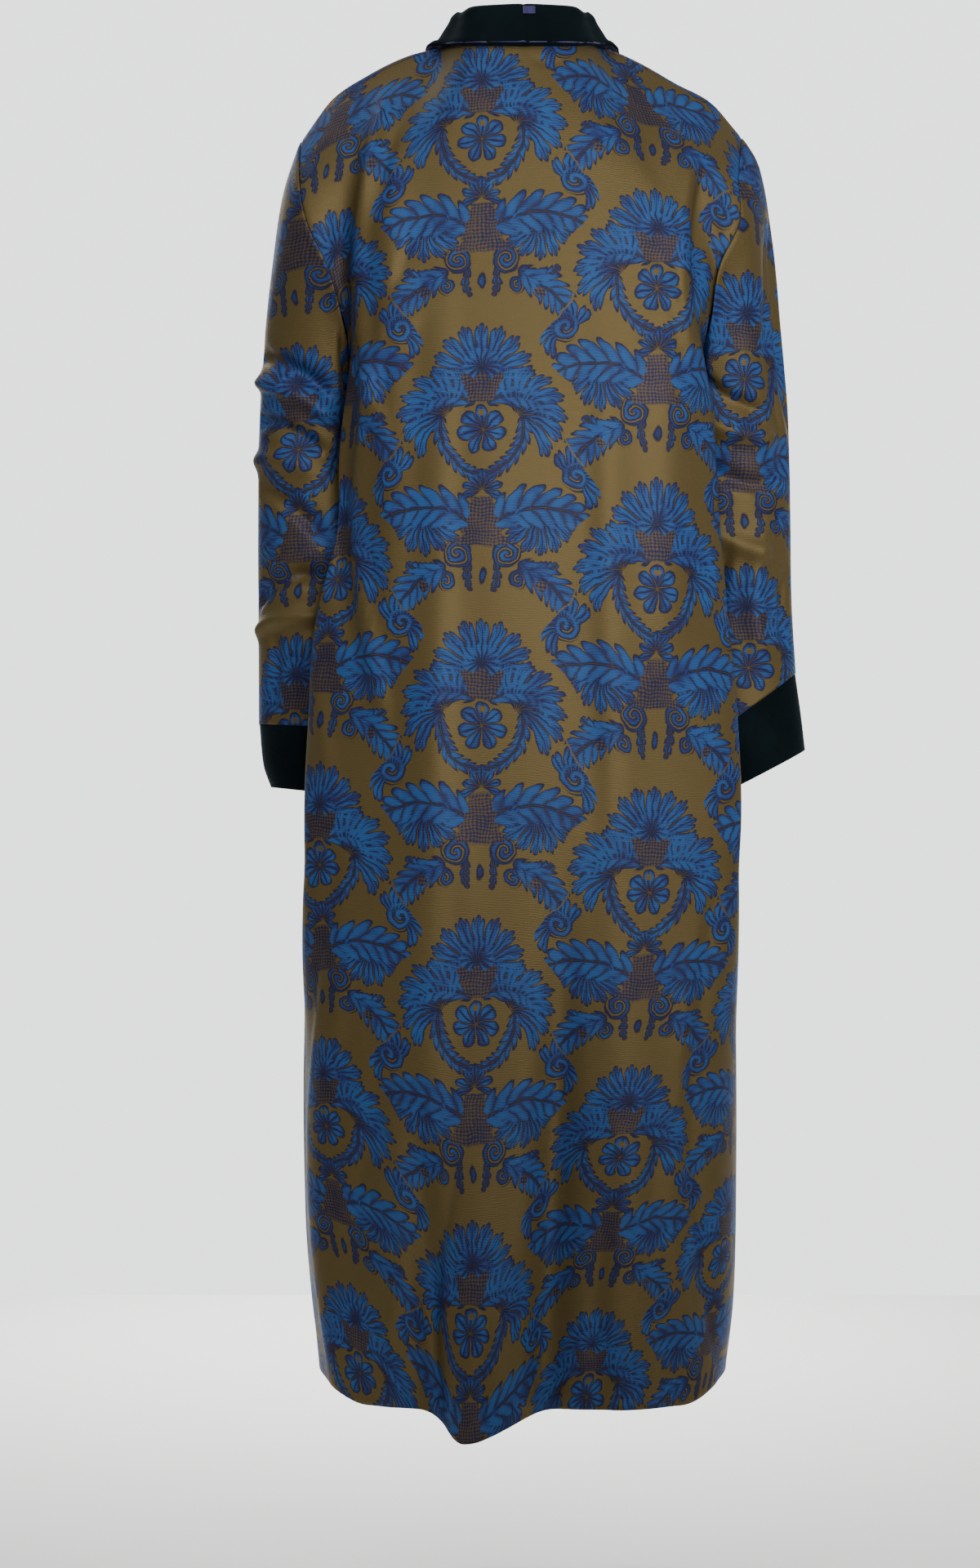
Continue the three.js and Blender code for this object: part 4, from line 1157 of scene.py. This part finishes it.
def collar_net():
    """The collar's lines from its left end round the neck to its right end."""
    left = [collar_line(LEFT, n) for n in range(SIDE_STATIONS, -1, -1)]
    right = [collar_line(RIGHT, n) for n in range(1, SIDE_STATIONS + 1)]
    return np.array(left + right)


def make_collar(net):
    """Collar: rows run from its left end round the neck to its right end, columns from its outer edge
    over the lap and up the stand. A shallow groove marks the seam at the middle of the back."""
    p = finer(net, STATION_SPLIT)
    p = finer(p.swapaxes(0, 1), CROSS_SPLIT).swapaxes(0, 1)
    n = grid_normals(p)
    n = n * np.sign(n[len(n) // 2, -1, 1])
    along = steps_along(p, 0)
    from_middle = along - along[len(p) // 2]
    wide = steps_along(p, 1)
    sink = seam_sink(from_middle, 1.3, 1.8) * (p[..., 1] > 0)
    edge = np.minimum(wide, wide[:, -1:] - wide)
    sink = sink + 1.0 * np.exp(-((edge / 2.2) ** 2)) - 0.9 * np.exp(-(((edge - 7) / 4) ** 2))
    p = p - n * sink[..., None]
    uv = np.stack([from_middle, wide], -1) * MM
    return cloth_shell("robe_collar", p, n, VELVET_WALL, uv, VELVET, LINING)


def make_tab(net):
    """A small flat tab of lining cloth on the collar's outside, under its top edge."""
    width, height, thick = 13.0, 9.0, 1.2
    low, high = net[SIDE_STATIONS][-2], net[SIDE_STATIONS][-1]
    seat = low + (high - low) * 0.45
    bpy.ops.mesh.primitive_cube_add(size=1)
    tab = bpy.context.object
    tab.name = "robe_neck_tab"
    corners = np.empty(24)
    tab.data.vertices.foreach_get("co", corners)
    tilt = math.atan2(15, 43)
    x, y, z = (corners.reshape(-1, 3) * (width, thick, height)).T
    turned = np.stack([x - 6, y * math.cos(tilt) - z * math.sin(tilt) + seat[1] + 1.5,
                       y * math.sin(tilt) + z * math.cos(tilt) + seat[2]], -1) * MM
    tab.data.vertices.foreach_set("co", turned.ravel())
    bevel = tab.modifiers.new("edge", "BEVEL")
    bevel.width = 0.5 * MM
    bevel.segments = 3
    tab.data.materials.append(LINING)
    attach(tab, "root")
    return tab


COLLAR_NET = collar_net()
collar = make_collar(COLLAR_NET)
tab = make_tab(COLLAR_NET)


# ------------------------------------------------------------------ what each piece stands for
PIECES = [
    (back, "back", "damask", (0.62, 1.45), 0.83),
    (front_left, "front_left", "damask", (0.30, 1.44), 0.31),
    (front_right, "front_right", "damask", (0.30, 1.44), 0.31),
    (sleeve_left, "sleeve_left", "damask", (0.40, 0.62), 0.175),
    (sleeve_right, "sleeve_right", "damask", (0.40, 0.62), 0.175),
    (cuff_left, "cuff_left", "velvet", (0.37, 0.075), 0.026),
    (cuff_right, "cuff_right", "velvet", (0.37, 0.075), 0.027),
    (collar, "collar", "velvet", (0.09, 1.35), 0.074),
]
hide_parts("neck_tab")
for piece, node, slot, flat, area in PIECES:
    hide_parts(node)


# ------------------------------------------------------------------ floor and light
def make_floor():
    """Pale floor under the robe and behind it, as the main camera sees it."""
    bpy.ops.mesh.primitive_plane_add(size=1, location=(0, -0.7, -1.62))
    floor = bpy.context.object
    floor.name = "floor"
    floor.scale = (9.0, 2.6, 1.0)
    material, tree, shader = new_material("floor")
    shader.inputs["Base Color"].default_value = (0.90, 0.89, 0.87, 1)
    shader.inputs["Roughness"].default_value = 0.9
    floor.data.materials.append(material)


def area_light(name, place, aim, size, power, spread, wide=1.0):
    """A soft light, `wide` times wider than it is high. `spread` is its beam's full angle in degrees."""
    data = bpy.data.lights.new(name, "AREA")
    data.shape = "RECTANGLE"
    data.size = size * wide
    data.size_y = size
    data.energy = power
    data.spread = math.radians(spread)
    light = bpy.data.objects.new(name, data)
    light.location = place
    dx, dy, dz = (a - b for a, b in zip(aim, place))
    level = math.hypot(dx, dy)
    light.rotation_euler = (math.atan2(level, -dz), 0, math.atan2(dy, dx) - math.pi / 2)
    bpy.context.collection.objects.link(light)


def make_sky():
    """A studio all round: pale beyond the robe as the main camera sees it, and grey elsewhere."""
    world = bpy.data.worlds.new("world")
    world.use_nodes = True
    tree = world.node_tree
    coords = tree.nodes.new("ShaderNodeTexCoord")
    parts = tree.nodes.new("ShaderNodeSeparateXYZ")
    tree.links.new(coords.outputs["Generated"], parts.inputs["Vector"])
    away = Field(tree, parts.outputs["Y"]).ramp(-0.8, -0.95)
    near_side = Field(tree, parts.outputs["Y"]).ramp(0.2, -0.7)
    high = Field(tree, parts.outputs["Z"]).ramp(-0.3, 0.8)
    strength = away * 1.85 + near_side * 0.30 + high * 0.14 + 0.12
    background = tree.nodes["Background"]
    background.inputs["Color"].default_value = (0.95, 0.97, 0.98, 1)
    tree.links.new(strength.socket, background.inputs["Strength"])
    bpy.context.scene.world = world


make_floor()
make_sky()
area_light("key", (-0.6, 1.6, -0.16), (-0.02, 0.0, -0.42), 1.2, 11.2, 78, 2.0)
area_light("top", (0.8, 1.2, 1.5), (0.0, 0.0, -0.1), 0.8, 1.5, 60)
area_light("front", (0.7, -2.4, 0.3), (0.0, 0.0, -0.6), 1.5, 9, 120)
area_light("far", (0.6, -2.2, 0.9), (0.0, -1.5, -1.6), 1.8, 50, 80)
